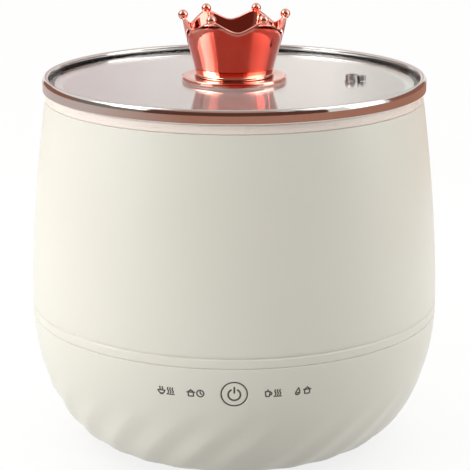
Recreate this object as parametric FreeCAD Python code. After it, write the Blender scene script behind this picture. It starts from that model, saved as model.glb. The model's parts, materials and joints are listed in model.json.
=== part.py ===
"""Electric hot pot with a lift-off glass lid and a crown knob, as separate pieces in millimetres.

The origin is on the table under the pot's axis, +Z is up and the control panel faces -Y.
"""

import FreeCAD, Part
import math
import os

from FreeCAD import Vector

# Heights above the table
BASE_Z = 4.5
BASE_TOP = 67.0
WAIST_Z = 70.0
BAND_TOP = 72.0
SHELL_TOP = 172.0
COLLAR_TOP = 176.2
PANEL_Z = 54.9

# Barrel outline
BARREL_R = 100.7
BARREL_TOP_R = 91.9
BARREL_FOOT_R = 68.0
UPPER_POWER = 1.69
LOWER_POWER = 1.9
LOWER_ROOT = 1.86
SHELL_WALL = 2.5
BASE_WALL = 2.9

# Twisted flutes round the lower corner of the base
FLUTES = 26
FLUTE_DEPTH = 1.5
FLUTE_START_Z = 48.0
FLUTE_FULL_Z = 24.0
FLUTE_TWIST_PER_MM = 0.58
FLUTE_PHASE = -2.0

# Bottom of the base
FLOOR_Z = 7.0
FLOOR_TOP = 9.5
FLOOR_HOLE_R = 40.0
COVER_R = 60.0
COVER_SCREW_R = 52.0
SCREW_SINK_Z = 5.8
AIR_SLOT_RINGS = ((14.0, 6), (24.0, 10), (34.0, 12))
FOOT_R = 8.0
FOOT_PLACE_R = 48.0
FOOT_HEIGHT = 5.5

# Six posts in the base carry the shelf of the trim band
SHELF_Z = 63.0
SHELF_INNER_R = 80.5
BAND_TONGUE_Z = 78.0
BAND_INNER_R = 95.4
BAND_OUTER_R = 97.3
POST_PLACE_R = 91.3
SHIELD_SCREW_R = 83.6

# Ring at the barrel's mouth
SEAT_GAP = 0.5
SEAT_INNER_R = 85.7
SKIRT_Z = 160.0
SKIRT_INNER_R = 87.6
SKIRT_OUTER_R = 88.6
STEP_Z = 174.0

# Inner pot, its heat shield and the heating plate
POT_WALL_R = 84.5
POT_WALL = 1.8
POT_BOTTOM = 80.1
POT_CORNER_R = 18.0
POT_RIM_R = 89.2
POT_RIM_TOP = 176.5
SHIELD_R = 87.2
SHIELD_SHEET = 0.8
SHIELD_FLOOR = 66.0
SHIELD_FLOOR_TOP = SHIELD_FLOOR + SHIELD_SHEET
SHIELD_TOP = 171.9
PLATE_R = 72.0
PLATE_BOTTOM = 74.0
PLATE_TOP = 80.0
PLATE_HOLE_R = 17.0
TUBE_RING_R = 52.0
TUBE_R = 3.2
TUBE_GAP_DEG = 22.0
STANDOFF_PLACE_R = 64.5
STANDOFF_R = 3.5
EARTH_PLACE = (-36.0, 34.0)
FUSE_X = 30.0
FUSE_Y = 36.0
FUSE_Z = 62.6
FUSE_R = 2.2
FUSE_LENGTH = 12.0

# Spring-loaded temperature probe in the middle of the heating plate
PROBE_R = 13.0
PROBE_TOP = 80.0
PROBE_SKIRT = 70.0
PROBE_FLANGE_R = 16.0
BRACKET_Z = 60.0
BRACKET_SHEET = 1.2
SPRING_R = 8.0
SPRING_WIRE_R = 0.6
SPRING_PITCH = 3.4

# Glass lid
LID_R = 92.9
LID_BOTTOM = 176.6
GLASS_BOTTOM = 177.0
GLASS_TOP = 180.0
GLASS_R = 91.4
RIM_TOP = 183.1
RIM_INNER_R = 89.9
RIM_LIP_R = 87.0
VENT_X = 57.1
VENT_Y = -2.0
VENT_R = 3.2
VENT_BORE_R = 2.0
VENT_NECK_R = 2.7
VENT_RING_X = VENT_X + 5.0
VENT_RING_R = 1.85
VENT_RING_BORE_R = 0.9
VENT_RING_NECK_R = 1.3

# Crown knob
CROWN_POINTS = 6
CROWN_TURN = 4.0
CROWN_FOOT_Z = 182.5
CROWN_FOOT_R = 19.4
CROWN_WALL_Z = 183.8
CROWN_FLOOR_TOP = 187.0
CROWN_RIM_Z = 212.6
CROWN_SHEET = 1.8
CROWN_POLES = ((18.8, CROWN_WALL_Z), (20.4, 192.5), (24.9, 203.0), (25.4, CROWN_RIM_Z))
CROWN_BOSS_Z = 192.0
BALL_R = 2.4
BALL_PLACE_R = 24.7
BALL_Z = 211.9
VALLEY_Z = 206.4
VALLEY_ROUND = 3.0
VALLEY_SLOPE = 0.566
KNOB_FLANGE_R = 25.6
KNOB_FLANGE_Z = 180.1
GASKET_R = 20.0
GASKET_TOP = 180.5

# Control panel
BUTTON_R = 5.6
BUTTON_HOLE_R = 6.2
BUTTON_FLANGE_R = 7.2
BUTTON_TRAVEL = 1.0
PANEL_BOARD_Y = -85.0
PANEL_SCREW_X = 33.0
PANEL_SCREW_Z = 48.5
BOARD_THICK = 1.6
ICON_ANGLES = (-18.1, -10.1, 10.1, 18.1)

# Power board on four pillars of the base
BOARD_LENGTH = 84.0
BOARD_WIDTH = 60.0
BOARD_Z = 20.0
BOARD_TOP = BOARD_Z + BOARD_THICK
PILLAR_X = 38.0
PILLAR_Y = 26.0
RIBBON_Y = -25.0
SCREW_R = 1.5

# Parts on the power board: x0, x1, y0, y1, lower and upper height above the board
RELAY_CASE = (-12.0, 7.0, -10.0, 6.0, 0.0, 15.5)
TRANSFORMER_CORE = (-37.0, -20.0, -14.0, 14.0, 2.0, 22.0)
TRANSFORMER_BOBBIN = (-41.0, -16.0, -8.0, 8.0, 0.0, 17.0)
FILM_CAPACITOR = (-27.0, -9.0, -26.0, -18.0, 0.0, 14.0)
TERMINAL_BODY = (-10.0, 20.0, 16.0, 28.0, 0.0, 12.0)
TERMINAL_X = (-5.0, 5.0, 15.0)
TERMINAL_MOUTH_Z = 4.5
CAN_PLACES = ((14.0, -19.0, 5.0, 14.0), (24.0, -19.0, 3.5, 11.0))

# Three-pin power inlet in the back of the base
INLET_Z = 42.0
INLET_MOUTH_Y = 91.5
INLET_WIDTH = 28.0
INLET_HEIGHT = 20.5
SOCKET_WIDTH = 24.0
SOCKET_HEIGHT = 16.0
SOCKET_DEPTH = 16.5
INLET_PAD_Y = 86.0
INLET_PAD_HALF = (26.0, 14.0)
INLET_FLANGE_Y = 83.0
INLET_FLANGE_HALF = (23.0, 11.5)
INLET_BODY_Y = 74.0
INLET_TAB_Y = 67.0
PIN_TIP_Y = 85.5
INLET_SCREW_X = 18.5
PIN_SPACING = 7.0

CENTRE = Vector(0, 0, 0)
UP = Vector(0, 0, 1)
TO_BACK = Vector(0, 1, 0)


def barrel_radius(z):
    """Outer radius of the pot at height z: a power curve above the waist, a soft corner below it."""
    if z >= WAIST_Z:
        rise = (z - WAIST_Z) / (SHELL_TOP - WAIST_Z)
        return BARREL_R - (BARREL_R - BARREL_TOP_R) * rise**UPPER_POWER
    fall = (WAIST_Z - z) / (WAIST_Z - BASE_Z)
    corner = (1 - fall**LOWER_POWER) ** (1 / LOWER_ROOT)
    return BARREL_FOOT_R + (BARREL_R - BARREL_FOOT_R) * corner


def polar(radius, degrees, z=0.0):
    """Point at a radius and a heading, counted from +X towards +Y."""
    angle = math.radians(degrees)
    return Vector(radius * math.cos(angle), radius * math.sin(angle), z)


def disc(radius, z0, z1, x=0.0, y=0.0):
    """Upright cylinder from z0 to z1."""
    return Part.makeCylinder(radius, z1 - z0, Vector(x, y, z0), UP)


def tube(outer, inner, z0, z1, x=0.0, y=0.0):
    """Upright ring from z0 to z1."""
    return disc(outer, z0, z1, x, y).cut(disc(inner, z0 - 1, z1 + 1, x, y))


def rod_y(radius, y0, y1, x, z):
    """Cylinder along Y."""
    return Part.makeCylinder(radius, y1 - y0, Vector(x, y0, z), TO_BACK)


def block(x0, x1, y0, y1, z0, z1):
    """Box between two corners."""
    return Part.makeBox(x1 - x0, y1 - y0, z1 - z0, Vector(x0, y0, z0))


def fuse(shapes):
    """One solid from several that touch or overlap."""
    first, *rest = shapes
    return first.fuse(rest).removeSplitter()


def group(shapes):
    """Several separate solids kept in one node."""
    return Part.makeCompound(shapes)


def around(shape, count, start=0.0):
    """Copies of a shape turned evenly round the pot's axis."""
    copies = []
    for index in range(count):
        turned = shape.copy()
        turned.rotate(CENTRE, UP, start + 360.0 * index / count)
        copies.append(turned)
    return copies


def lathe(points):
    """Solid turned from a closed outline of (radius, z) points."""
    corners = [Vector(r, 0, z) for r, z in points]
    wire = Part.makePolygon(corners + corners[:1])
    return Part.Face(wire).revolve(CENTRE, UP, 360)


def turned_up_to_axis(wall):
    """Full solid turned from one curve in the X-Z plane, closed by flat ends at its two heights."""
    start, end = wall.firstVertex().Point, wall.lastVertex().Point
    low, high = Vector(0, 0, start.z), Vector(0, 0, end.z)
    edges = [Part.makeLine(low, start), wall, Part.makeLine(end, high), Part.makeLine(high, low)]
    return Part.Face(Part.Wire(edges)).revolve(CENTRE, UP, 360)


def barrel_curve(z0, z1, inset=0.0, steps=14):
    """Spline along the barrel's outline from z0 up to z1, moved inwards by inset."""
    heights = [z0 + (z1 - z0) * index / steps for index in range(steps + 1)]
    curve = Part.BSplineCurve()
    curve.interpolate([Vector(barrel_radius(z) - inset, 0, z) for z in heights])
    return curve.toShape()


def barrel_solid(z0, z1, inset=0.0):
    """Full solid of the barrel between two heights."""
    return turned_up_to_axis(barrel_curve(z0, z1, inset))


def screw(x, y, head_z, length, head_r=2.7, head_h=1.8, shank_r=SCREW_R, up=True):
    """Pan-head screw with a cross recess; its head stands on head_z and its shank points the other way."""
    head = disc(head_r, 0, head_h)
    shank = disc(shank_r, -length, 0)
    slot = block(-head_r * 0.6, head_r * 0.6, -0.35, 0.35, head_h * 0.45, head_h + 1)
    cross = slot.copy()
    cross.rotate(CENTRE, UP, 90)
    body = fuse([head, shank]).cut([slot, cross])
    if not up:
        body.rotate(CENTRE, Vector(1, 0, 0), 180)
    body.translate(Vector(x, y, head_z))
    return body


def lead(points, radius):
    """Round wire through points: straight runs joined by arcs as large as each corner leaves room for."""
    edges = []
    start = points[0]
    for before, corner, after in zip(points, points[1:], points[2:]):
        back = before - corner
        ahead = after - corner
        reach = 0.45 * min(back.Length, ahead.Length)
        enter = corner + back.normalize() * reach
        leave = corner + ahead.normalize() * reach
        half = back.getAngle(ahead) / 2
        towards = (back + ahead).normalize()
        bend_r = reach * math.tan(half)
        middle = corner + towards * (bend_r / math.sin(half) - bend_r)
        edges.append(Part.makeLine(start, enter))
        edges.append(Part.Arc(enter, middle, leave).toShape())
        start = leave
    edges.append(Part.makeLine(start, points[-1]))
    spine = Part.Wire(edges)
    circle = Part.Wire(Part.makeCircle(radius, points[0], points[1] - points[0]))
    return spine.makePipeShell([circle], True, False)


# Casing

def flute_section(z):
    """Closed outline at one height: hollow arcs between twisted ridges that fade out upwards."""
    radius = barrel_radius(z)
    fade = (FLUTE_START_Z - z) / (FLUTE_START_Z - FLUTE_FULL_Z)
    fade = min(1.0, max(0.0, fade))
    depth = FLUTE_DEPTH * fade * fade * (3 - 2 * fade)
    turn = FLUTE_PHASE - 90 - FLUTE_TWIST_PER_MM * (38.0 - z)
    step = 360.0 / FLUTES
    arcs = []
    for index in range(FLUTES):
        ridge = turn + index * step
        ends = polar(radius, ridge, z), polar(radius, ridge + step, z)
        hollow = polar(radius - depth, ridge + step / 2, z)
        arcs.append(Part.Arc(ends[0], hollow, ends[1]).toShape())
    return Part.Wire(arcs)


def base_body():
    """Outer solid of the base: round at the seam, fluted at the lower corner, flat underneath."""
    heights = [BASE_TOP, 58.0, 50.0, 43.0, 36.0, 29.0, 22.5, 16.5, 11.5, 7.8, 5.4, BASE_Z]
    sections = [flute_section(z) for z in reversed(heights)]
    return Part.makeLoft(sections, True, False)


def pillar_places():
    """Where the four corners of the power board stand."""
    return [(x, y) for x in (-PILLAR_X, PILLAR_X) for y in (-PILLAR_Y, PILLAR_Y)]


def base_fittings():
    """Everything that stands on the inside of the base: posts, pillars, bosses and the inlet's flat pad."""
    inside = barrel_solid(FLOOR_TOP - 0.5, BASE_TOP, 1.6)
    half_x, half_z = INLET_PAD_HALF
    pad = block(-half_x, half_x, INLET_PAD_Y, 97, INLET_Z - half_z, INLET_Z + half_z)
    posts = around(disc(4.5, 44.0, SHELF_Z, POST_PLACE_R, 0), 6)
    panel_bosses = [rod_y(3.0, -97.0, PANEL_BOARD_Y, x, PANEL_SCREW_Z)
                    for x in (-PANEL_SCREW_X, PANEL_SCREW_X)]
    on_wall = fuse([pad, *posts, *panel_bosses]).common(inside)
    pillars = [disc(3.5, FLOOR_TOP - 0.5, BOARD_Z, x, y) for x, y in pillar_places()]
    bosses = around(disc(3.5, FLOOR_TOP - 0.5, 18.0, COVER_SCREW_R, 0), 4)
    return [on_wall, *pillars, *bosses]


def base_holes():
    """Screw holes of the base, the key's hole and the inlet's window."""
    half_w, half_h = INLET_WIDTH / 2 + 0.2, INLET_HEIGHT / 2 + 0.2
    holes = [block(-half_w, half_w, 80, 110, INLET_Z - half_h, INLET_Z + half_h)]
    holes += [disc(SCREW_R, 12.0, BOARD_Z + 1, x, y) for x, y in pillar_places()]
    holes += around(disc(SCREW_R, 0, 16.0, COVER_SCREW_R, 0), 4)
    holes += around(disc(SCREW_R, 50.0, 64.0, POST_PLACE_R, 0), 6)
    holes += [rod_y(SCREW_R, -91.5, -80, x, PANEL_SCREW_Z) for x in (-PANEL_SCREW_X, PANEL_SCREW_X)]
    holes += [rod_y(SCREW_R, 80, 92.5, x, INLET_Z) for x in (-INLET_SCREW_X, INLET_SCREW_X)]
    holes.append(rod_y(BUTTON_HOLE_R, -110, -80, 0, PANEL_Z))
    return holes


def base_shell():
    """Fluted lower casing, open in the middle of its floor, with its fittings and holes."""
    shell = base_body().cut([
        barrel_solid(FLOOR_TOP, BASE_TOP + 1, BASE_WALL),
        disc(FLOOR_HOLE_R, 0, FLOOR_TOP + 1),
        disc(COVER_R + 0.2, 0, FLOOR_Z),
    ])
    return fuse([shell, *base_fittings()]).cut(base_holes())


def bottom_cover():
    """Flat plate in the recess under the base, with rings of air slots and seats for the feet."""
    plate = disc(COVER_R, BASE_Z, FLOOR_Z)
    slots = []
    for ring_r, count in AIR_SLOT_RINGS:
        slot = block(ring_r - 3.5, ring_r + 3.5, -1.2, 1.2, 0, FLOOR_Z + 1)
        slots += around(slot, count)
    seats = around(disc(FOOT_R + 0.1, 0, FOOT_HEIGHT, FOOT_PLACE_R, 0), 4, 45)
    holes = around(disc(SCREW_R + 0.1, 0, FLOOR_Z + 1, COVER_SCREW_R, 0), 4)
    sinks = around(disc(2.9, 0, SCREW_SINK_Z, COVER_SCREW_R, 0), 4)
    return plate.cut(slots + seats + holes + sinks)


def foot():
    """Rubber foot with a rounded tread edge and a shallow dimple."""
    pad = disc(FOOT_R, 0, FOOT_HEIGHT, FOOT_PLACE_R, 0)
    pad = pad.makeFillet(0.8, [edge for edge in pad.Edges if edge.BoundBox.ZMax < 0.1])
    return pad.cut(disc(3.0, -1, 0.5, FOOT_PLACE_R, 0))


def trim_band():
    """Ring between base and barrel: a flush outer band, tongues into both shells and an inner shelf."""
    band = lathe([
        (BAND_INNER_R, SHELF_Z), (BAND_OUTER_R - 0.2, SHELF_Z), (BAND_OUTER_R - 0.2, BASE_TOP),
        (barrel_radius(BASE_TOP) - 0.25, BASE_TOP), (BARREL_R - 0.1, WAIST_Z),
        (barrel_radius(BAND_TOP) - 0.1, BAND_TOP), (BAND_OUTER_R + 0.2, BAND_TOP),
        (BAND_OUTER_R + 0.2, BAND_TONGUE_Z), (BAND_INNER_R, BAND_TONGUE_Z), (BAND_INNER_R, SHIELD_FLOOR),
        (SHELF_INNER_R, SHIELD_FLOOR), (SHELF_INNER_R, SHELF_Z),
    ])
    holes = around(disc(SCREW_R + 0.1, 60, 70, POST_PLACE_R, 0), 6)
    holes += around(disc(SCREW_R - 0.1, 60, 70, SHIELD_SCREW_R, 0), 3, 30)
    return band.cut(holes)


def outer_shell():
    """Barrel wall between the band and the collar."""
    shell = barrel_solid(BAND_TOP, SHELL_TOP)
    return shell.cut(barrel_solid(BAND_TOP - 1, SHELL_TOP + 1, SHELL_WALL))


def top_collar():
    """Ring at the barrel's mouth: a step outside, a recessed seat for the pot's rim and a skirt inside."""
    top_r = BARREL_TOP_R - 0.15
    seat_r = POT_RIM_R + SEAT_GAP
    seat_z = POT_RIM_TOP - 1.8
    return lathe([
        (SEAT_INNER_R, SHELL_TOP), (SKIRT_INNER_R, SHELL_TOP), (SKIRT_INNER_R, SKIRT_Z),
        (SKIRT_OUTER_R, SKIRT_Z), (SKIRT_OUTER_R, SHELL_TOP), (top_r, SHELL_TOP), (top_r - 0.1, STEP_Z),
        (top_r - 0.35, STEP_Z + 0.1), (top_r - 0.5, COLLAR_TOP - 0.5), (top_r - 1.0, COLLAR_TOP),
        (seat_r, COLLAR_TOP), (seat_r, seat_z), (SEAT_INNER_R, seat_z),
    ])


# Pot, shield and heater

def pot_corner(centre_r, radius):
    """Quarter arc of the pot's lower corner, from the floor up to the wall."""
    corner_z = POT_BOTTOM + POT_CORNER_R
    diagonal = radius * math.sqrt(0.5)
    return Part.Arc(
        Vector(centre_r, 0, corner_z - radius),
        Vector(centre_r + diagonal, 0, corner_z - diagonal),
        Vector(centre_r + radius, 0, corner_z),
    ).toShape()


def inner_pot():
    """Round cooking pot with a curved lower corner and a rim turned outwards."""
    inside_r = POT_WALL_R - POT_WALL
    corner_z = POT_BOTTOM + POT_CORNER_R
    rim_z = POT_RIM_TOP - 1.7
    centre_r = POT_WALL_R - POT_CORNER_R
    rim = [(POT_WALL_R, corner_z), (POT_WALL_R, rim_z), (POT_RIM_R, rim_z), (POT_RIM_R, POT_RIM_TOP),
           (inside_r + 1.2, POT_RIM_TOP), (inside_r, POT_RIM_TOP - 1.2), (inside_r, corner_z)]
    floor_top = POT_BOTTOM + POT_WALL
    floor = [(centre_r, floor_top), (0, floor_top), (0, POT_BOTTOM), (centre_r, POT_BOTTOM)]
    edges = [pot_corner(centre_r, POT_CORNER_R), pot_corner(centre_r, POT_CORNER_R - POT_WALL)]
    for line in (rim, floor):
        corners = [Vector(r, 0, z) for r, z in line]
        edges += [Part.makeLine(a, b) for a, b in zip(corners, corners[1:])]
    return Part.Face(Part.Wire(Part.sortEdges(edges)[0])).revolve(CENTRE, UP, 360)


def heat_shield():
    """Thin can round the pot; its floor carries the heating plate and lets the leads through."""
    can = disc(SHIELD_R, SHIELD_FLOOR, SHIELD_TOP).cut(
        disc(SHIELD_R - SHIELD_SHEET, SHIELD_FLOOR_TOP, SHIELD_TOP + 1))
    holes = [disc(19.0, 60, 70)]
    holes += around(disc(2.1, 60, 70, STANDOFF_PLACE_R, 0), 3, 90)
    holes += around(disc(SCREW_R + 0.1, 60, 70, SHIELD_SCREW_R, 0), 3, 30)
    holes += [disc(6.0, 60, 70, x, y) for x, y in terminal_places()]
    return can.cut(holes)


def terminal_places():
    """Where the two ends of the heating tube turn down."""
    ends = [polar(TUBE_RING_R, -90 + side * TUBE_GAP_DEG) for side in (-1, 1)]
    return [(end.x, end.y) for end in ends]


def heating_tube():
    """Sheathed element: most of a ring under the plate, with both ends turned down."""
    z = PLATE_BOTTOM - 0.8
    first = -90 + TUBE_GAP_DEG
    last = 270 - TUBE_GAP_DEG
    ends = [polar(TUBE_RING_R, first, z), polar(TUBE_RING_R, last, z)]
    ring = Part.Arc(ends[0], polar(TUBE_RING_R, 90, z), ends[1]).toShape()
    tangent = polar(1, first + 90)
    profile = Part.Wire(Part.makeCircle(TUBE_R, ends[0], tangent))
    body = Part.Wire([ring]).makePipeShell([profile], True, False)
    tails = [disc(TUBE_R, 67.5, z, end.x, end.y) for end in ends]
    elbows = [Part.makeSphere(TUBE_R, end) for end in ends]
    return fuse([body, *tails, *elbows])


def heating_plate():
    """Cast plate with a rib underneath that holds the element in a groove."""
    plate = disc(PLATE_R, PLATE_BOTTOM, PLATE_TOP)
    rib = tube(TUBE_RING_R + 5.0, TUBE_RING_R - 5.0, PLATE_BOTTOM - 3.0, PLATE_BOTTOM)
    sockets = around(disc(5.0, PLATE_BOTTOM - 1.0, PLATE_BOTTOM, STANDOFF_PLACE_R, 0), 3, 90)
    plate = fuse([plate, rib, *sockets])
    holes = [disc(PLATE_HOLE_R, 60, 90)]
    holes += around(disc(1.8, 60, 78.0, STANDOFF_PLACE_R, 0), 3, 90)
    holes += [disc(TUBE_R, 60, PLATE_BOTTOM, x, y) for x, y in terminal_places()]
    return plate.cut(holes).cut(heating_tube())


def plate_standoffs():
    """Sleeves that hold the plate above the shield's floor."""
    sleeve = tube(STANDOFF_R, 2.1, SHIELD_FLOOR_TOP, PLATE_BOTTOM - 1.0, STANDOFF_PLACE_R, 0)
    return group(around(sleeve, 3, 90))


def heater_terminals():
    """Threaded pins out of the element's ends, each with a flat tab."""
    pins = []
    for x, y in terminal_places():
        pin = disc(1.6, 60.0, 67.5, x, y)
        tab = block(x - 3.2, x + 3.2, y - 0.4, y + 0.4, 52.0, 60.5)
        pins.append(fuse([pin, tab]))
    return group(pins)


def terminal_insulators():
    """Ceramic beads that keep the heater pins off the shield."""
    beads = []
    for x, y in terminal_places():
        flange = disc(7.5, SHIELD_FLOOR - 2.5, SHIELD_FLOOR, x, y)
        neck = disc(5.8, SHIELD_FLOOR, SHIELD_FLOOR_TOP + 0.4, x, y)
        bore = disc(1.6, 60, 67.5, x, y)
        beads.append(fuse([flange, neck]).cut(bore))
    return group(beads)


def fuse_bore(radius, reach):
    """Cylinder along the fuse's axis, as long to both sides of its middle."""
    return rod_y(radius, FUSE_Y - reach, FUSE_Y + reach, FUSE_X, FUSE_Z)


def thermal_fuse():
    """Fuse capsule lying under the shield's floor, with a wire end at each side."""
    return fuse([fuse_bore(FUSE_R, FUSE_LENGTH / 2), fuse_bore(0.6, FUSE_LENGTH)])


def fuse_clip():
    """Bent strap that holds the fuse against the shield's floor."""
    y0, y1 = FUSE_Y - 3.0, FUSE_Y + 3.0
    web = block(FUSE_X - 2.8, FUSE_X + 2.8, y0, y1, FUSE_Z, SHIELD_FLOOR)
    tabs = block(FUSE_X - 8.0, FUSE_X + 8.0, y0, y1, SHIELD_FLOOR - 0.6, SHIELD_FLOOR)
    saddle = fuse([fuse_bore(2.8, 3.0), web, tabs])
    channel = block(FUSE_X - FUSE_R, FUSE_X + FUSE_R, y0 - 1, y1 + 1, FUSE_Z, SHIELD_FLOOR - 0.6)
    return saddle.cut([fuse_bore(FUSE_R, 5.0), channel])


# Temperature probe

def sensor_cap():
    """Inverted cup with a retaining flange."""
    cup = disc(PROBE_R, PROBE_SKIRT, PROBE_TOP)
    cup = cup.makeFillet(1.0, [edge for edge in cup.Edges if edge.BoundBox.ZMin > PROBE_TOP - 0.1])
    flange = disc(PROBE_FLANGE_R, PROBE_SKIRT, PROBE_SKIRT + 1.0)
    return fuse([cup, flange]).cut(disc(PROBE_R - 1.2, PROBE_SKIRT - 1, PROBE_TOP - 1.2))


def sensor_bead():
    """Thermistor bead glued under the cap."""
    return disc(2.5, PROBE_TOP - 5.2, PROBE_TOP - 1.2)


def sensor_spring():
    """Compression spring between the bracket and the probe."""
    low = BRACKET_Z + BRACKET_SHEET + SPRING_WIRE_R
    height = PROBE_TOP - 1.2 - SPRING_WIRE_R - low
    helix = Part.makeHelix(SPRING_PITCH, height, SPRING_R)
    circle = Part.Wire(Part.makeCircle(SPRING_WIRE_R, Vector(SPRING_R, 0, 0), TO_BACK))
    coil = Part.Wire(helix).makePipeShell([circle], True, True)
    coil.translate(Vector(0, 0, low))
    return coil


def sensor_bracket():
    """Pressed bridge under the shield that the spring stands on."""
    pan = disc(14.0, BRACKET_Z, BRACKET_Z + BRACKET_SHEET)
    arms = block(-25, 25, -5, 5, BRACKET_Z, BRACKET_Z + BRACKET_SHEET)
    sides = [block(x, x + BRACKET_SHEET, -5, 5, BRACKET_Z, SHIELD_FLOOR)
             for x in (-25, 25 - BRACKET_SHEET)]
    ears = [block(x, x + 7.2, -5, 5, SHIELD_FLOOR - BRACKET_SHEET, SHIELD_FLOOR)
            for x in (-31, 23.8)]
    return fuse([pan, arms, *sides, *ears]).cut(disc(4.0, BRACKET_Z - 1, BRACKET_Z + 3))


# Power electronics

def on_board(x0, x1, y0, y1, low, high):
    """Box that stands on the power board."""
    return block(x0, x1, y0, y1, BOARD_TOP + low, BOARD_TOP + high)


def power_board():
    """Board with a screw hole over each pillar."""
    half_x, half_y = BOARD_LENGTH / 2, BOARD_WIDTH / 2
    board = block(-half_x, half_x, -half_y, half_y, BOARD_Z, BOARD_TOP)
    return board.cut([disc(SCREW_R + 0.1, BOARD_Z - 1, BOARD_TOP + 1, x, y) for x, y in pillar_places()])


def relay():
    """Relay case with softened upper edges."""
    case = on_board(*RELAY_CASE)
    return case.makeFillet(0.8, [edge for edge in case.Edges if edge.BoundBox.ZMax > BOARD_TOP + 15])


def transformer():
    """Laminated core with a winding bobbin through it."""
    return fuse([on_board(*TRANSFORMER_CORE), on_board(*TRANSFORMER_BOBBIN)])


def capacitors():
    """Two round capacitors and one flat film capacitor."""
    cans = [disc(radius, BOARD_TOP, BOARD_TOP + height, x, y) for x, y, radius, height in CAN_PLACES]
    return group([*cans, on_board(*FILM_CAPACITOR)])


def terminal_block():
    """Three-way screw terminal at the back edge of the board."""
    mouths = [rod_y(2.2, 22, 30, x, BOARD_TOP + TERMINAL_MOUTH_Z) for x in TERMINAL_X]
    screws = [disc(2.6, BOARD_TOP + 8, BOARD_TOP + 13, x, 20) for x in TERMINAL_X]
    return on_board(*TERMINAL_BODY).cut(mouths + screws)


def board_connector():
    """Socket on the board that the ribbon cable plugs into."""
    return on_board(-6, 6, RIBBON_Y - 3, RIBBON_Y + 3, 0, 7)


# Control panel

def control_board():
    """Upright board behind the panel, screwed to two bosses."""
    board = block(-37, 37, PANEL_BOARD_Y, PANEL_BOARD_Y + BOARD_THICK, 45.5, 61.5)
    return board.cut([rod_y(SCREW_R + 0.1, PANEL_BOARD_Y - 1, PANEL_BOARD_Y + 3, x, PANEL_SCREW_Z)
                      for x in (-PANEL_SCREW_X, PANEL_SCREW_X)])


def panel_screws():
    """Two screws of the upright board, with their heads towards the pot's axis."""
    screws = []
    for x in (-PANEL_SCREW_X, PANEL_SCREW_X):
        body = screw(0, 0, 0, 6.0)
        body.rotate(CENTRE, Vector(1, 0, 0), -90)
        body.translate(Vector(x, PANEL_BOARD_Y + BOARD_THICK, PANEL_SCREW_Z))
        screws.append(body)
    return group(screws)


def indicator_leds():
    """Four small domed lamps behind the thin panel, one at each function mark."""
    leds = []
    for angle in ICON_ANGLES:
        x = barrel_radius(PANEL_Z) * math.sin(math.radians(angle))
        stem = rod_y(1.5, PANEL_BOARD_Y - 3.2, PANEL_BOARD_Y, x, PANEL_Z)
        base = rod_y(1.9, PANEL_BOARD_Y - 1.0, PANEL_BOARD_Y, x, PANEL_Z)
        dome = Part.makeSphere(1.5, Vector(x, PANEL_BOARD_Y - 3.2, PANEL_Z))
        leds.append(fuse([stem, dome, base]))
    return group(leds)


def tact_switch():
    """Case of the switch behind the key, with the bore of its plunger."""
    body = block(-3.5, 3.5, PANEL_BOARD_Y - 4.0, PANEL_BOARD_Y, PANEL_Z - 3.5, PANEL_Z + 3.5)
    return body.cut(rod_y(1.8, PANEL_BOARD_Y - 5.0, PANEL_BOARD_Y - 0.6, 0, PANEL_Z))


def select_button():
    """Round key that follows the barrel, with a flange behind the wall and a stem to the switch."""
    cap = rod_y(BUTTON_R, -110, -95.3, 0, PANEL_Z).common(barrel_solid(30, BASE_TOP, 0.1))
    flange = rod_y(BUTTON_FLANGE_R, -95.0, -93.4, 0, PANEL_Z)
    neck = rod_y(BUTTON_R, -95.4, -94.9, 0, PANEL_Z)
    stem = rod_y(2.0, -93.5, PANEL_BOARD_Y - 5.4, 0, PANEL_Z)
    return fuse([cap, neck, flange, stem])


def switch_plunger():
    """Plunger between the key's stem and the switch, clear of the bore's end by the key's travel."""
    return rod_y(1.7, PANEL_BOARD_Y - 5.4, PANEL_BOARD_Y - 0.8 - BUTTON_TRAVEL, 0, PANEL_Z)


# Power inlet

def inlet_hollow():
    """Hollow of the socket: a rectangle with both lower corners cut off."""
    half_w, half_h, bevel = SOCKET_WIDTH / 2, SOCKET_HEIGHT / 2, 4.0
    outline = [
        (-half_w, half_h), (half_w, half_h), (half_w, -half_h + bevel),
        (half_w - bevel, -half_h), (-half_w + bevel, -half_h), (-half_w, -half_h + bevel),
    ]
    corners = [Vector(x, INLET_MOUTH_Y - SOCKET_DEPTH, INLET_Z + z) for x, z in outline]
    return Part.Face(Part.makePolygon(corners + corners[:1])).extrude(TO_BACK * (SOCKET_DEPTH + 5))


def inlet_housing():
    """Panel inlet from inside the wall: a flange, a body through the window and the socket hollow."""
    half_w, half_h = INLET_WIDTH / 2, INLET_HEIGHT / 2
    flange_w, flange_h = INLET_FLANGE_HALF
    body = block(-half_w, half_w, INLET_BODY_Y, INLET_MOUTH_Y, INLET_Z - half_h, INLET_Z + half_h)
    flange = block(-flange_w, flange_w, INLET_FLANGE_Y, INLET_PAD_Y, INLET_Z - flange_h, INLET_Z + flange_h)
    holes = [rod_y(SCREW_R + 0.1, 80, 90, x, INLET_Z) for x in (-INLET_SCREW_X, INLET_SCREW_X)]
    return fuse([flange, body]).cut([inlet_hollow(), *holes]).cut(inlet_pins())


def pin_places():
    """Live, neutral and earth pins, seen from the back."""
    return [(-PIN_SPACING, INLET_Z - 2.0), (PIN_SPACING, INLET_Z - 2.0), (0.0, INLET_Z + 2.0)]


def inlet_pins():
    """Three flat pins that run through the housing into solder tabs."""
    return group([block(x - 1.0, x + 1.0, INLET_TAB_Y, PIN_TIP_Y, z - 2.0, z + 2.0) for x, z in pin_places()])


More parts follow.
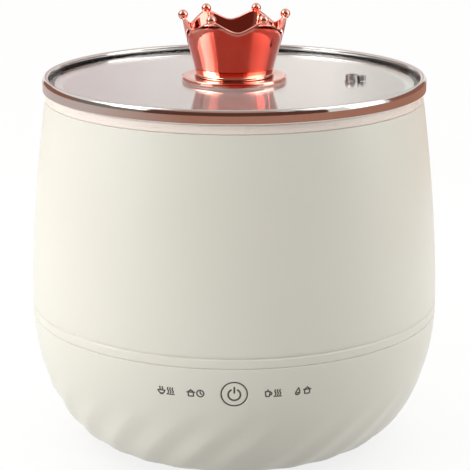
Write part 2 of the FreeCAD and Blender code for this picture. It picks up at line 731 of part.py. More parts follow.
def inlet_screws():
    """Two screws that hold the inlet's flange to the pad, put in from inside."""
    screws = []
    for x in (-INLET_SCREW_X, INLET_SCREW_X):
        body = screw(0, 0, 0, 9.0)
        body.rotate(CENTRE, Vector(1, 0, 0), 90)
        body.translate(Vector(x, INLET_FLANGE_Y, INLET_Z))
        screws.append(body)
    return group(screws)


# Leads

def mains_leads():
    """Live and neutral from the inlet down to the terminal block."""
    wires = []
    height = INLET_Z - 2.0
    mouth_z = BOARD_TOP + TERMINAL_MOUTH_Z
    for x, mouth in ((-PIN_SPACING, TERMINAL_X[0]), (PIN_SPACING, TERMINAL_X[2])):
        wires.append(lead([
            Vector(x, INLET_TAB_Y, height), Vector(x, 58, height), Vector((x + mouth) / 2, 47, 34.0),
            Vector(mouth, 36, mouth_z), Vector(mouth, 22, mouth_z),
        ], 1.3))
    return group(wires)


def earth_lead():
    """Earth from the inlet up to the shield's floor."""
    x, y = EARTH_PLACE
    height = INLET_Z + 2.0
    return lead([
        Vector(0, INLET_TAB_Y, height), Vector(0, 57, height), Vector(-14, 45, 47.0),
        Vector(x + 6, y + 6, 50.0), Vector(x, y, 57.0), Vector(x, y, SHIELD_FLOOR),
    ], 1.2)


def heater_leads():
    """From the board to both heater terminals."""
    wires = []
    for side, (x, y) in zip((-1, 1), terminal_places()):
        wires.append(lead([
            Vector(side * 30, -22, BOARD_TOP), Vector(side * 30, -22, 32.0),
            Vector(side * 27, -40, 38.0), Vector(x, y, 43.0), Vector(x, y, 52.0),
        ], 1.3))
    return group(wires)


def sensor_lead():
    """Thin pair from the probe's bracket down to the board."""
    return lead([
        Vector(0, 0, BRACKET_Z + 6), Vector(0, 0, 52.0), Vector(14, 3, 43.0), Vector(30, 6, 36.0),
        Vector(33, 8, 30.0), Vector(33, 8, BOARD_TOP),
    ], 0.9)


def ribbon_cable():
    """Flat cable from the board's connector up to the back of the control board."""
    back = PANEL_BOARD_Y + BOARD_THICK
    path = [
        Vector(0, RIBBON_Y, BOARD_TOP + 7), Vector(0, RIBBON_Y, 40.0), Vector(0, -40, 50.0),
        Vector(0, -62, 55.0), Vector(0, back + 12, 56.0), Vector(0, back, 56.0),
    ]
    strands = []
    for index in range(-3, 4):
        aside = Vector(index * 1.27, 0, 0)
        strands.append(lead([point + aside for point in path], 0.635))
    return group(strands)


# Lid

def lid_glass():
    """Flat disc with a hole for the knob's screw and two for the eyelet."""
    glass = disc(GLASS_R, GLASS_BOTTOM, GLASS_TOP)
    vent_hole = disc(VENT_NECK_R + 0.1, 170, 190, VENT_X, VENT_Y)
    ring_hole = disc(VENT_RING_NECK_R + 0.1, 170, 190, VENT_RING_X, VENT_Y)
    return glass.cut([disc(3.0, 170, 190), vent_hole, ring_hole])


def lid_rim():
    """Rolled steel channel: a lip under the glass, an upright band and a rounded bead over the edge."""
    bead_r = (LID_R - RIM_INNER_R) / 2
    bead_z = RIM_TOP - bead_r
    crest = Vector(LID_R - bead_r, 0, RIM_TOP)
    line = [Vector(r, 0, z) for r, z in (
        (RIM_INNER_R, bead_z), (RIM_INNER_R, GLASS_TOP), (GLASS_R, GLASS_TOP), (GLASS_R, GLASS_BOTTOM),
        (RIM_LIP_R, GLASS_BOTTOM), (RIM_LIP_R, LID_BOTTOM), (LID_R - 0.8, LID_BOTTOM),
        (LID_R, LID_BOTTOM + 0.8), (LID_R, bead_z),
    )]
    bead = Part.Arc(line[-1], crest, line[0]).toShape()
    edges = [bead] + [Part.makeLine(a, b) for a, b in zip(line, line[1:])]
    return Part.Face(Part.Wire(edges)).revolve(CENTRE, UP, 360)


def vent_eyelet():
    """Riveted steam eyelet: a wide and a narrow collar on one foot, with both necks through the glass."""
    foot = block(VENT_X, VENT_RING_X, VENT_Y - 1.0, VENT_Y + 1.0, GLASS_TOP, GLASS_TOP + 0.6)
    collar = disc(VENT_R, GLASS_TOP, GLASS_TOP + 2.8, VENT_X, VENT_Y)
    neck = disc(VENT_NECK_R, GLASS_BOTTOM - 0.8, GLASS_TOP, VENT_X, VENT_Y)
    lower = disc(VENT_R + 0.6, GLASS_BOTTOM - 0.8, GLASS_BOTTOM, VENT_X, VENT_Y)
    ring = disc(VENT_RING_R, GLASS_TOP, GLASS_TOP + 2.4, VENT_RING_X, VENT_Y)
    ring_neck = disc(VENT_RING_NECK_R, GLASS_BOTTOM - 0.8, GLASS_TOP, VENT_RING_X, VENT_Y)
    bore = disc(VENT_BORE_R, 170, 190, VENT_X, VENT_Y)
    ring_bore = disc(VENT_RING_BORE_R, 170, 190, VENT_RING_X, VENT_Y)
    return fuse([foot, collar, neck, lower, ring, ring_neck]).cut([bore, ring_bore])


def crown_solid(inset):
    """Full flared solid of the crown, moved inwards by inset."""
    curve = Part.BezierCurve()
    curve.setPoles([Vector(r - inset, 0, z) for r, z in CROWN_POLES])
    return turned_up_to_axis(curve.toShape())


def crown_valley():
    """Cutter over one valley: a hyperbola, round at its bottom and nearly straight up to the two points."""
    half, steps, near = 14.0, 12, 8.0
    bottom = []
    for index in range(-steps, steps + 1):
        across = half * index / steps
        rise = math.hypot(across, VALLEY_ROUND) - VALLEY_ROUND
        bottom.append(Vector(near, across, VALLEY_Z + VALLEY_SLOPE * rise))
    curve = Part.BSplineCurve()
    curve.interpolate(bottom)
    top_z = CROWN_RIM_Z + 3.0
    over = [bottom[-1], Vector(near, half, top_z), Vector(near, -half, top_z), bottom[0]]
    edges = [curve.toShape()] + [Part.makeLine(a, b) for a, b in zip(over, over[1:])]
    return Part.Face(Part.Wire(edges)).extrude(Vector(30, 0, 0))


def crown_knob():
    """Crown: a flared cup with V-shaped valleys, a ball on each point, a foot ring and a screw boss."""
    hollow = crown_solid(CROWN_SHEET).cut(disc(40, 180, CROWN_FLOOR_TOP))
    half_step = 180.0 / CROWN_POINTS
    valleys = around(crown_valley(), CROWN_POINTS, CROWN_TURN + half_step)
    wall = crown_solid(0.0).cut([hollow, *valleys])
    balls = around(Part.makeSphere(BALL_R, Vector(BALL_PLACE_R, 0, BALL_Z)), CROWN_POINTS, CROWN_TURN)
    foot_ring = disc(CROWN_FOOT_R, CROWN_FOOT_Z, CROWN_WALL_Z)
    upper = [edge for edge in foot_ring.Edges if edge.BoundBox.ZMin > CROWN_WALL_Z - 0.1]
    foot_ring = foot_ring.makeFillet(0.4, upper)
    boss = disc(5.0, CROWN_WALL_Z, CROWN_BOSS_Z)
    return fuse([wall, foot_ring, boss, *balls]).cut(disc(2.0, 180, CROWN_BOSS_Z - 1.5))


def knob_flange():
    """Plated disc between knob and glass, with a rounded edge and a shallow recess for its gasket."""
    flange = disc(KNOB_FLANGE_R, KNOB_FLANGE_Z, CROWN_FOOT_Z)
    rims = [edge for edge in flange.Edges if edge.Curve.TypeId == "Part::GeomCircle"]
    recess = disc(GASKET_R + 0.2, KNOB_FLANGE_Z, GASKET_TOP)
    return flange.makeFillet(1.0, rims).cut([recess, disc(2.2, 170, 190)])


def knob_gasket():
    """Soft ring between the flange and the glass."""
    return tube(GASKET_R, 2.4, GLASS_TOP, GASKET_TOP)


def knob_washer():
    """Soft washer under the glass."""
    return tube(9.0, 2.2, GLASS_BOTTOM - 1.2, GLASS_BOTTOM)


def knob_screw():
    """Screw from below through washer, glass and flange into the crown's boss."""
    return screw(0, 0, GLASS_BOTTOM - 1.2, 14.0, 4.2, 2.2, 2.0, up=False)


# Feet and screws of the casing

def rubber_feet():
    """Four feet in the seats of the bottom plate."""
    return group(around(foot(), 4, 45))


def cover_screws():
    """Screws of the bottom plate, sunk into it."""
    body = screw(COVER_SCREW_R, 0, SCREW_SINK_Z, 9.5, head_h=1.2, up=False)
    return group(around(body, 4))


def frame_screws():
    """Screws through the shelf into the posts of the base."""
    return group(around(screw(POST_PLACE_R, 0, SHIELD_FLOOR, 14.0), 6))


def shield_screws():
    """Screws through the shield's floor into the shelf."""
    body = screw(SHIELD_SCREW_R, 0, SHIELD_FLOOR_TOP, 3.6, shank_r=SCREW_R - 0.1)
    return group(around(body, 3, 30))


def board_screws():
    """Screws of the power board."""
    return group([screw(x, y, BOARD_TOP, 7.0) for x, y in pillar_places()])


def plate_screws():
    """Screws from below through shield and sleeves into the heating plate."""
    body = screw(STANDOFF_PLACE_R, 0, SHIELD_FLOOR, 11.5, 3.4, 2.2, 1.8, up=False)
    return group(around(body, 3, 90))


NODES = {
    "outer_shell": outer_shell,
    "top_collar": top_collar,
    "trim_band": trim_band,
    "base_shell": base_shell,
    "bottom_cover": bottom_cover,
    "rubber_feet": rubber_feet,
    "cover_screws": cover_screws,
    "frame_screws": frame_screws,
    "shield_screws": shield_screws,
    "heat_shield": heat_shield,
    "heating_plate": heating_plate,
    "heating_tube": heating_tube,
    "heater_terminals": heater_terminals,
    "terminal_insulators": terminal_insulators,
    "plate_standoffs": plate_standoffs,
    "plate_screws": plate_screws,
    "thermal_fuse": thermal_fuse,
    "fuse_clip": fuse_clip,
    "sensor_bracket": sensor_bracket,
    "sensor_spring": sensor_spring,
    "sensor_cap": sensor_cap,
    "sensor_bead": sensor_bead,
    "power_board": power_board,
    "relay": relay,
    "transformer": transformer,
    "capacitors": capacitors,
    "terminal_block": terminal_block,
    "board_connector": board_connector,
    "board_screws": board_screws,
    "control_board": control_board,
    "panel_screws": panel_screws,
    "indicator_leds": indicator_leds,
    "tact_switch": tact_switch,
    "switch_plunger": switch_plunger,
    "select_button": select_button,
    "inlet_housing": inlet_housing,
    "inlet_pins": inlet_pins,
    "inlet_screws": inlet_screws,
    "mains_leads": mains_leads,
    "earth_lead": earth_lead,
    "heater_leads": heater_leads,
    "sensor_lead": sensor_lead,
    "ribbon_cable": ribbon_cable,
    "inner_pot": inner_pot,
    "lid_glass": lid_glass,
    "lid_rim": lid_rim,
    "vent_eyelet": vent_eyelet,
    "crown_knob": crown_knob,
    "knob_flange": knob_flange,
    "knob_gasket": knob_gasket,
    "knob_washer": knob_washer,
    "knob_screw": knob_screw,
}


def main():
    """Write one STEP file for each node."""
    os.makedirs("parts", exist_ok=True)
    for node, make in NODES.items():
        shape = make()
        shape.exportStep(f"parts/{node}.step")
        print(node, shape.isValid(), len(shape.Solids), round(shape.Volume))


main()
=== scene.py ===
"""Electric hot pot: the finished surfaces of the packed model, laid out as an add-on and run as a script.

Shapes are worked out in millimetres and become metres in add_piece. Settings, materials and the stage are in
metres. The origin is under the pot's axis, +Z is up and the control panel faces -Y.
"""

import bmesh
import bpy
import json
import math
import numpy as np
from bpy.props import FloatProperty, FloatVectorProperty, IntProperty, PointerProperty
from bpy.types import Operator, Panel, PropertyGroup
from collections import namedtuple
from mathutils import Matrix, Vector


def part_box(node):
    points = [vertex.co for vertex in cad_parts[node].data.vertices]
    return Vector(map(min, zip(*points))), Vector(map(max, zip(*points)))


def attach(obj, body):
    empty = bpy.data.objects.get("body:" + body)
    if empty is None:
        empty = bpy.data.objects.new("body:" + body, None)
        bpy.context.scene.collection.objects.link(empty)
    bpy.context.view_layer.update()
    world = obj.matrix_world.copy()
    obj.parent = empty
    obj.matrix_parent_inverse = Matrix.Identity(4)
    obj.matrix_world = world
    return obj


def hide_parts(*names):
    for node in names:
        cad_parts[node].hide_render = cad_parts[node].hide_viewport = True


bl_info = {
    "name": "Electric Hot Pot",
    "version": (1, 0, 0),
    "blender": (4, 5, 0),
    "location": "View3D > Sidebar > Hot Pot",
    "description": "Builds the visible surfaces of an electric hot pot with a crown knob",
    "category": "Add Mesh",
}

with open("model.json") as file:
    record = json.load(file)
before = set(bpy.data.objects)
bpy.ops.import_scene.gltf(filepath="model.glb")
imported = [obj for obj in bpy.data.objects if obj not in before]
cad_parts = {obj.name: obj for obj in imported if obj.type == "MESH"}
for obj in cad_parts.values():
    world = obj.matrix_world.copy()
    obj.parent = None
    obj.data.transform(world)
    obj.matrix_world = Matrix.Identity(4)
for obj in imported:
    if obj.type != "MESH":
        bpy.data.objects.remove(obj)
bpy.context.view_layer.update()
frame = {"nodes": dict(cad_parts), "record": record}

MM = 0.001
FULL_TURN = 2 * math.pi
FRONT = math.radians(-90)
BACK = math.radians(90)

# Driving heights and radii in millimetres, read from the packed nodes
BARREL_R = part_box("trim_band")[1].x / MM
FLOOR_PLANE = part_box("bottom_cover")[0].z / MM
COVER_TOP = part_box("bottom_cover")[1].z / MM
BASE_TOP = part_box("base_shell")[1].z / MM
BAND_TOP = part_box("outer_shell")[0].z / MM
SHELL_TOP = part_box("outer_shell")[1].z / MM
COLLAR_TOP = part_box("top_collar")[1].z / MM
KEY_Z = (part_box("select_button")[0].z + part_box("select_button")[1].z) / 2 / MM
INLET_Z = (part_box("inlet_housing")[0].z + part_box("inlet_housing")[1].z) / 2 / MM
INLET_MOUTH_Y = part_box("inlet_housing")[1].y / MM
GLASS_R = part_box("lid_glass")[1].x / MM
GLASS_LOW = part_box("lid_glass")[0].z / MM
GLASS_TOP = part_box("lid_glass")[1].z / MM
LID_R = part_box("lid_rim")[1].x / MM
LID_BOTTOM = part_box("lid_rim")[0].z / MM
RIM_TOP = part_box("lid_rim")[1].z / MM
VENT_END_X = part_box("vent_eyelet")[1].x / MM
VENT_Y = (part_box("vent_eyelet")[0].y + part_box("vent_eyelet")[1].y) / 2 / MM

# Barrel outline, the same two power curves as the solid parts
WAIST_Z = 70.0
BARREL_TOP_R = 91.9
BARREL_FOOT_R = 68.0
UPPER_POWER = 1.69
LOWER_POWER = 1.9
LOWER_ROOT = 1.86
BASE_WALL = 2.9
SHELL_WALL = 2.5

# Heat shield and the shelf of the band that carries it
SHIELD_R = 87.2
SHIELD_SHEET = 0.8
SHELF_LOW, SHELF_TOP = 63.0, 66.0

# Base: key, power inlet and columns of the grid
TWIST_STOP_Z = 47.0
KEY_HOLE_R = 6.2
KEY_R = 5.6
INLET_WINDOW = (14.2, 10.45)
INLET_PAD_Y = 86.0
COLUMNS_PER_FLUTE = 20
BARREL_COLUMNS = 360


# ---------------------------------------------------------------- Settings

def length_setting(name, description, default):
    """A length in metres with a field in the panel."""
    return FloatProperty(name=name, description=description, default=default, min=0.0, unit="LENGTH", precision=4)


def degree_setting(name, description, default):
    """A plain number of degrees."""
    return FloatProperty(name=name, description=description, default=default)


def colour_setting(name, description, default):
    """A linear colour with a swatch in the panel."""
    return FloatVectorProperty(name=name, description=description, default=default, min=0.0, max=1.0,
                               subtype="COLOR")


def share_setting(name, description, default, highest=1.0):
    """A number from 0 up to a limit."""
    return FloatProperty(name=name, description=description, default=default, min=0.0, max=highest,
                         subtype="FACTOR")


class HotPotBody(PropertyGroup):
    """Casing of the pot."""

    cream: colour_setting("Cream", "Colour of the moulded shells", (0.85, 0.833, 0.740))
    collar_cream: colour_setting("Collar", "Colour of the ring under the lid", (0.99, 0.88, 0.80))
    satin: share_setting("Satin", "Roughness of the moulded shells", 0.36)
    flutes: IntProperty(name="Flutes", description="Hollows round the base", default=26, min=3, max=60)
    flute_depth: length_setting("Flute depth", "How deep a hollow is below its ridges", 0.95 * MM)
    flute_start: length_setting("Flute start", "Height where the flutes fade out", 48.0 * MM)
    flute_full: length_setting("Flute full", "Height under which the flutes have their full depth", 24.0 * MM)
    flute_twist: degree_setting("Twist", "Degrees a ridge turns for each millimetre of height", 0.58)
    flute_phase: degree_setting("Phase", "Degrees from the front to the first ridge", -2.0)
    pot_coating: colour_setting("Pot coating", "Colour inside the cooking pot", (0.86, 0.82, 0.80))


class HotPotPanel(PropertyGroup):
    """Key and printed marks."""

    ink: colour_setting("Ink", "Colour of the printed marks", (0.085, 0.078, 0.066))
    stroke: length_setting("Stroke", "Width of a printed line", 0.68 * MM)
    ink_height: length_setting("Ink height", "How far the print stands proud", 0.03 * MM)
    mark_height: length_setting("Mark height", "Height of a function mark", 4.2 * MM)
    edge: length_setting("Edge radius", "Rounding of the holes in the base", 0.35 * MM)


class HotPotLid(PropertyGroup):
    """Glass, rim and steam eyelet."""

    glass: colour_setting("Glass", "Tint of the lid's glass", (0.965, 0.975, 0.970))
    steel: colour_setting("Steel", "Colour of the rim's steel", (0.66, 0.63, 0.61))
    steel_roughness: share_setting("Steel roughness", "Roughness of the rim", 0.08)
    bead: length_setting("Bead", "Half the width of the rim's upper edge", 1.5 * MM)
    shoulder: length_setting("Shoulder", "Height of the rounding on the outer side of the rim", 2.8 * MM)
    inner_shoulder: length_setting("Inner shoulder", "Height of the rounding on the rim's inner side", 0.9 * MM)


class HotPotCrown(PropertyGroup):
    """Crown knob."""

    points: IntProperty(name="Points", description="Points of the crown", default=6, min=3, max=12)
    turn: degree_setting("Turn", "Degrees the first point is turned from +X", 4.0)
    sheet: length_setting("Wall", "Thickness of the crown's wall", 1.8 * MM)
    valley: length_setting("Valley", "Height of the rim between two points", 206.4 * MM)
    tip: length_setting("Tip", "Height of the wall at its points", 211.9 * MM)
    ball: length_setting("Ball radius", "Radius of the ball on each point", 2.4 * MM)
    plating: colour_setting("Plating", "Colour of the rose-gold plating", (0.82, 0.39, 0.31))
    # Deep red of the wall's lacquer, also the colour of the painted shade pools on the flange's edge
    lacquer_and_painted_light: colour_setting("Lacquer", "Colour of the plating under the wall's deep lacquer", (0.70, 0.045, 0.018))
    gloss: share_setting("Plating roughness", "Roughness of the plating", 0.055)
    # Where the wall's lacquer is thinner: paler streaks that are painted highlights of the bright card on the left
    painted_highlight_streak: degree_setting("Streak", "Degrees from the first point to a streak of thin lacquer", -15.0)
    # Where the flange's edge is darkened: painted shade pools, one at its front
    pool: degree_setting("Pool", "Degrees from the first point to a pool of lacquer on the flange", 30.0)


class HotPotStage(PropertyGroup):
    """Camera and light."""

    distance: length_setting("Distance", "Camera to target", 824.0 * MM)
    target: length_setting("Target height", "Height that the camera looks at", 101.4 * MM)
    elevation: FloatProperty(name="Elevation", description="Camera above the horizon", subtype="ANGLE",
                             default=math.radians(15.65))
    lens: FloatProperty(name="Lens", description="Focal length in millimetres on a 36 mm sensor", default=126.38)
    key: FloatProperty(name="Key light", description="Power of the soft box on the left", default=3.9, min=0.0)
    fill: FloatProperty(name="Fill light", description="Power of the soft box on the right", default=1.6, min=0.0)
    ambient: share_setting("Ambient", "Strength of the even light from all round", 1.08, 2.0)
    front_shade: share_setting("Front shade", "How much weaker the even light is from the front", 1.82, 4.0)
    floor: colour_setting("Floor", "Colour of the floor", (0.50, 0.50, 0.50))
    shadow: share_setting("Shadow", "Share of the floor's own shading that is kept", 0.20)


# ---------------------------------------------------------------- Shapes as arrays

def barrel_radius(height):
    """Radius of the barrel: a power curve above the waist and a soft superellipse corner below it."""
    rise = np.clip((height - WAIST_Z) / (SHELL_TOP - WAIST_Z), 0, 1)
    fall = np.clip((WAIST_Z - height) / (WAIST_Z - FLOOR_PLANE), 0, 1)
    upper = BARREL_R - (BARREL_R - BARREL_TOP_R) * rise**UPPER_POWER
    lower = BARREL_FOOT_R + (BARREL_R - BARREL_FOOT_R) * (1 - fall**LOWER_POWER) ** (1 / LOWER_ROOT)
    return np.where(height >= WAIST_Z, upper, lower)


def round_points(radius, heading, height):
    """Points at radii, headings and heights, which broadcast against each other."""
    across, deep = radius * np.cos(heading), radius * np.sin(heading)
    return np.stack(np.broadcast_arrays(across, deep, height), axis=-1)


def headings(count):
    """Evenly spaced angles, once round."""
    return np.arange(count) * FULL_TURN / count


def grid_quads(index):
    """Quads between neighbouring rows and columns of a grid of vertex numbers whose columns join up."""
    ahead = np.roll(index, -1, axis=1)
    return np.stack([index[:-1], ahead[:-1], ahead[1:], index[1:]], axis=-1).reshape(-1, 4)


def tube(grid):
    """Closed surface from a grid of points that joins up both ways."""
    index = np.arange(grid[..., 0].size).reshape(grid.shape[:2])
    return grid.reshape(-1, 3), grid_quads(np.vstack([index, index[:1]]))


def turned(profile, columns=256, place=(0.0, 0.0)):
    """Closed surface turned about an upright axis: a closed outline of (radius, height) points at each heading."""
    profile = np.asarray(profile, float)
    return tube(round_points(profile[:, :1], headings(columns), profile[:, 1:]) + [*place, 0.0])


def corner_arc(before, corner, after, radius, steps=6):
    """Arc that rounds one corner, with a support point on the straight at each end.

    It leaves the corner's sides radius / tan(half angle) away, and its points turn evenly about its centre.
    """
    before, corner, after = (np.asarray(point, float) for point in (before, corner, after))
    back = (before - corner) / np.linalg.norm(before - corner)
    ahead = (after - corner) / np.linalg.norm(after - corner)
    half = math.acos(np.clip(back @ ahead, -1, 1)) / 2
    inwards = (back + ahead) / np.linalg.norm(back + ahead)
    centre = corner + inwards * radius / math.sin(half)
    reach = radius / math.tan(half)
    turn = math.pi - 2 * half
    share = np.linspace(0, 1, steps + 1)[:, None]
    start, end = corner + back * reach - centre, corner + ahead * reach - centre
    arc = centre + (np.sin((1 - share) * turn) * start + np.sin(share * turn) * end) / math.sin(turn)
    support = 0.25 * radius
    return np.vstack([arc[0] + back * support, arc, arc[-1] + ahead * support])


def outline(rows, steps=6):
    """Closed outline through rows of (radius, height, rounding); a rounding of 0 leaves the corner sharp."""
    corners = [row[:2] for row in rows]
    parts = []
    for index, (*corner, rounding) in enumerate(rows):
        before, after = corners[index - 1], corners[(index + 1) % len(rows)]
        parts.append(corner_arc(before, corner, after, rounding, steps) if rounding else np.array([corner], float))
    return np.vstack(parts)


def ball(radius, place):
    """Ball: latitude circles from pole to pole."""
    latitude = np.linspace(-math.pi / 2, math.pi / 2, 20)
    ring = np.stack([radius * np.cos(latitude), radius * np.sin(latitude) + place[2]], axis=-1)
    return turned(ring, 32, place[:2])


def joined(shapes):
    """One set of points and faces from several."""
    points, faces, count = [], [], 0
    for part_points, part_faces in shapes:
        points.append(part_points)
        faces.append(part_faces + count)
        count += len(part_points)
    return np.vstack(points), np.vstack(faces)


def turned_copies(shape, turns):
    """Copies of a shape turned about the pot's axis."""
    points, faces = shape
    copies = []
    for turn in turns:
        matrix = np.array([[math.cos(turn), math.sin(turn), 0], [-math.sin(turn), math.cos(turn), 0], [0, 0, 1]])
        copies.append((points @ matrix, faces))
    return joined(copies)


def signed_volume(points, faces):
    """Volume inside a closed surface, negative where its faces point inwards."""
    a, b, c, d = (points[faces[:, k]] for k in range(4))
    halves = np.einsum("ij,ij->i", a, np.cross(b, c)) + np.einsum("ij,ij->i", a, np.cross(c, d))
    return halves.sum() / 6


def linked(name, data):
    """New object in the scene."""
    holder = bpy.data.objects.new(name, data)
    bpy.context.scene.collection.objects.link(holder)
    return holder


def new_mesh(name, points, faces, material):
    """Mesh of one material."""
    mesh = bpy.data.meshes.new(name)
    mesh.from_pydata(points, [], faces)
    mesh.materials.append(material)
    return mesh


def add_piece(name, shape, body, nodes, slot, finish=None, values=None):
    """Object from a closed shape: outward faces, welded seams and poles, smooth shading, bound to its body.

    Its finish is that of its slot, unless another one is named. Where there are values, each point carries its own
    in the attribute "share".
    """
    points, faces = shape
    if signed_volume(points, faces) < 0:
        faces = faces[:, ::-1]
    mesh = new_mesh(name, points * MM, faces, FINISHES[finish or slot])
    if values is not None:
        mesh.attributes.new("share", "FLOAT", "POINT").data.foreach_set("value", values)
    work = bmesh.new()
    work.from_mesh(mesh)
    bmesh.ops.remove_doubles(work, verts=work.verts, dist=0.0001 * MM)
    work.to_mesh(mesh)
    work.free()
    mesh.polygons.foreach_set("use_smooth", np.ones(len(mesh.polygons), bool))
    mesh.validate()
    piece = linked(name, mesh)
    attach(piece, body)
    if nodes:
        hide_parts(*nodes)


# ---------------------------------------------------------------- Base with flutes, key hole and window

def ridge_turn(height, body):
    """Angle by which the ridges have turned at a height."""
    return np.radians(body.flute_twist * (height - 38.0))


def flute_weight(heading, height, body):
    """How deep the flutes are, from 0 at a ridge to 1 in a hollow, faded out upwards by a smooth step."""
    start, full = body.flute_start / MM, body.flute_full / MM
    fade = np.clip((start - height) / (start - full), 0, 1)
    ridge = FRONT + math.radians(body.flute_phase) + ridge_turn(height, body)
    place = ((heading - ridge) * body.flutes / FULL_TURN) % 1.0 * 2 - 1
    hollow = 0.25 * (1 - place**2) + 0.75 * (0.5 + 0.5 * np.cos(math.pi * place))
    return hollow * fade * fade * (3 - 2 * fade)


def skin_radius(heading, height, inset, body):
    """Radius of the base's fluted skin, moved inwards by inset."""
    return barrel_radius(height) - body.flute_depth / MM * flute_weight(heading, height, body) - inset


def skin_point(across, height, side, inset, body):
    """Point of the base's skin straight in front of, or behind, a place in the X-Z plane."""
    heading = side * (BACK - np.arcsin(across / barrel_radius(height)))
    radius = skin_radius(heading, height, inset, body)
    return np.stack([across, side * np.sqrt(radius**2 - across**2), height], axis=-1)


def superellipse(angle, half_width, half_height, power):
    """Points (across, up) of a rounded opening: a superellipse at the given headings from its centre."""
    wide, tall = np.abs(np.cos(angle)) / half_width, np.abs(np.sin(angle)) / half_height
    reach = (wide**power + tall**power) ** (-1 / power)
    return np.stack([reach * np.cos(angle), reach * np.sin(angle)], axis=-1)


# An opening of the base: the side it is on (-1 in front, 1 at the back), its middle's height, its half width and
# half height, the power of its superellipse, how far to both sides the grid is cut out for it, and its rings inside
# the wall as (half width, half height, depth), where no depth is the wall's own inner face
Opening = namedtuple("Opening", "side height half_size power reach rings")

OPENINGS = (
    Opening(-1, KEY_Z, (KEY_HOLE_R, KEY_HOLE_R), 2.0, 9.0,
            ((KEY_HOLE_R, KEY_HOLE_R, None), (KEY_HOLE_R + 0.5, KEY_HOLE_R + 0.5, None))),
    Opening(1, INLET_Z, INLET_WINDOW, 14.0, 31.0,
            ((*INLET_WINDOW, INLET_PAD_Y + 0.2), (*INLET_WINDOW, INLET_PAD_Y), (17.0, 12.5, INLET_PAD_Y),
             (17.2, 12.7, None))),
)
OPENING_MARGIN = 3.2


def opening_rings(outer, opening, edge, body):
    """Rings from the skin's grid over the rounded edge of an opening, through the wall and back to the inner grid."""
    side, power = opening.side, opening.power
    centre, half = np.array([0.0, opening.height]), np.array(opening.half_size)
    start = outer[:, [0, 2]] - centre
    angle = np.arctan2(start[:, 1], start[:, 0])

    def ring(flat, inset=0.0):
        across, up = (flat + centre).T
        return skin_point(across, up, side, inset, body)

    lip = superellipse(angle, *(half + edge), power)
    shares = 1 - (1 - np.linspace(0, 1, 13)[1:-1]) ** 1.3
    rings = [ring(start + (lip - start) * share) for share in shares]
    for bend in np.linspace(0, math.pi / 2, 6):
        rings.append(ring(superellipse(angle, *(half + edge * (1 - math.sin(bend))), power)))
        rings[-1][:, 1] -= side * edge * (1 - math.cos(bend))
    for half_width, half_height, depth in opening.rings:
        rings.append(ring(superellipse(angle, half_width, half_height, power), BASE_WALL))
        if depth is not None:
            rings[-1][:, 1] = side * depth
    return np.stack(rings)


def opening_block(opening, heights, heading):
    """First and last row, and first and last column, of the block of grid cells that makes room for an opening."""
    rows = np.flatnonzero(np.abs(heights - opening.height) < opening.half_size[1] + OPENING_MARGIN)
    columns = heading.shape[1]
    away = (heading[(rows[0] + rows[-1]) // 2] - opening.side * BACK + math.pi) % FULL_TURN - math.pi
    inside = np.flatnonzero(np.abs(away) * BARREL_R < opening.reach)
    if inside[-1] - inside[0] >= len(inside):
        inside = np.sort((inside + columns // 2) % columns) - columns // 2
    return (rows[0], rows[-1]), (inside[0], inside[-1])


def block_border(rows, columns):
    """Row and column numbers round the edge of a block of grid cells, once round."""
    (top, bottom), (left, right) = rows, columns
    across, down = np.arange(left, right), np.arange(top, bottom)
    row = np.concatenate([0 * across + top, down, 0 * across + bottom, down[::-1] + 1])
    column = np.concatenate([across, 0 * down + right, across[::-1] + 1, 0 * down + left])
    return row, column


def runs_outward(loop, side):
    """Whether a border loop runs the way that makes its strip's faces agree with the grid's."""
    across, up = loop[:, 0], loop[:, 2]
    area = np.sum(across * np.roll(up, -1) - np.roll(across, -1) * up)
    return area * side > 0


def base_rows():
    """Heights of the base's rows from its top edge down, and how far the rounded edge takes each one inwards."""
    edge = 0.45
    first = math.asin(((WAIST_Z - BASE_TOP + edge) / (WAIST_Z - FLOOR_PLANE)) ** (LOWER_POWER / 2))
    bend = np.linspace(first, math.pi / 2, 76)
    skin = WAIST_Z - (WAIST_Z - FLOOR_PLANE) * np.sin(bend) ** (2 / LOWER_POWER)
    round_off = np.linspace(math.pi / 2, 0, 6)[:-1]
    lip = BASE_TOP - edge * (1 - np.sin(round_off))
    return np.concatenate([lip, skin]), np.concatenate([edge * (1 - np.cos(round_off)), 0 * skin])


def base_headings(heights, body):
    """Heading of each column in each row: a column follows a ridge as it turns."""
    columns = FRONT + math.radians(body.flute_phase) + headings(body.flutes * COLUMNS_PER_FLUTE)
    return columns + ridge_turn(np.minimum(heights, TWIST_STOP_Z), body)[:, None]


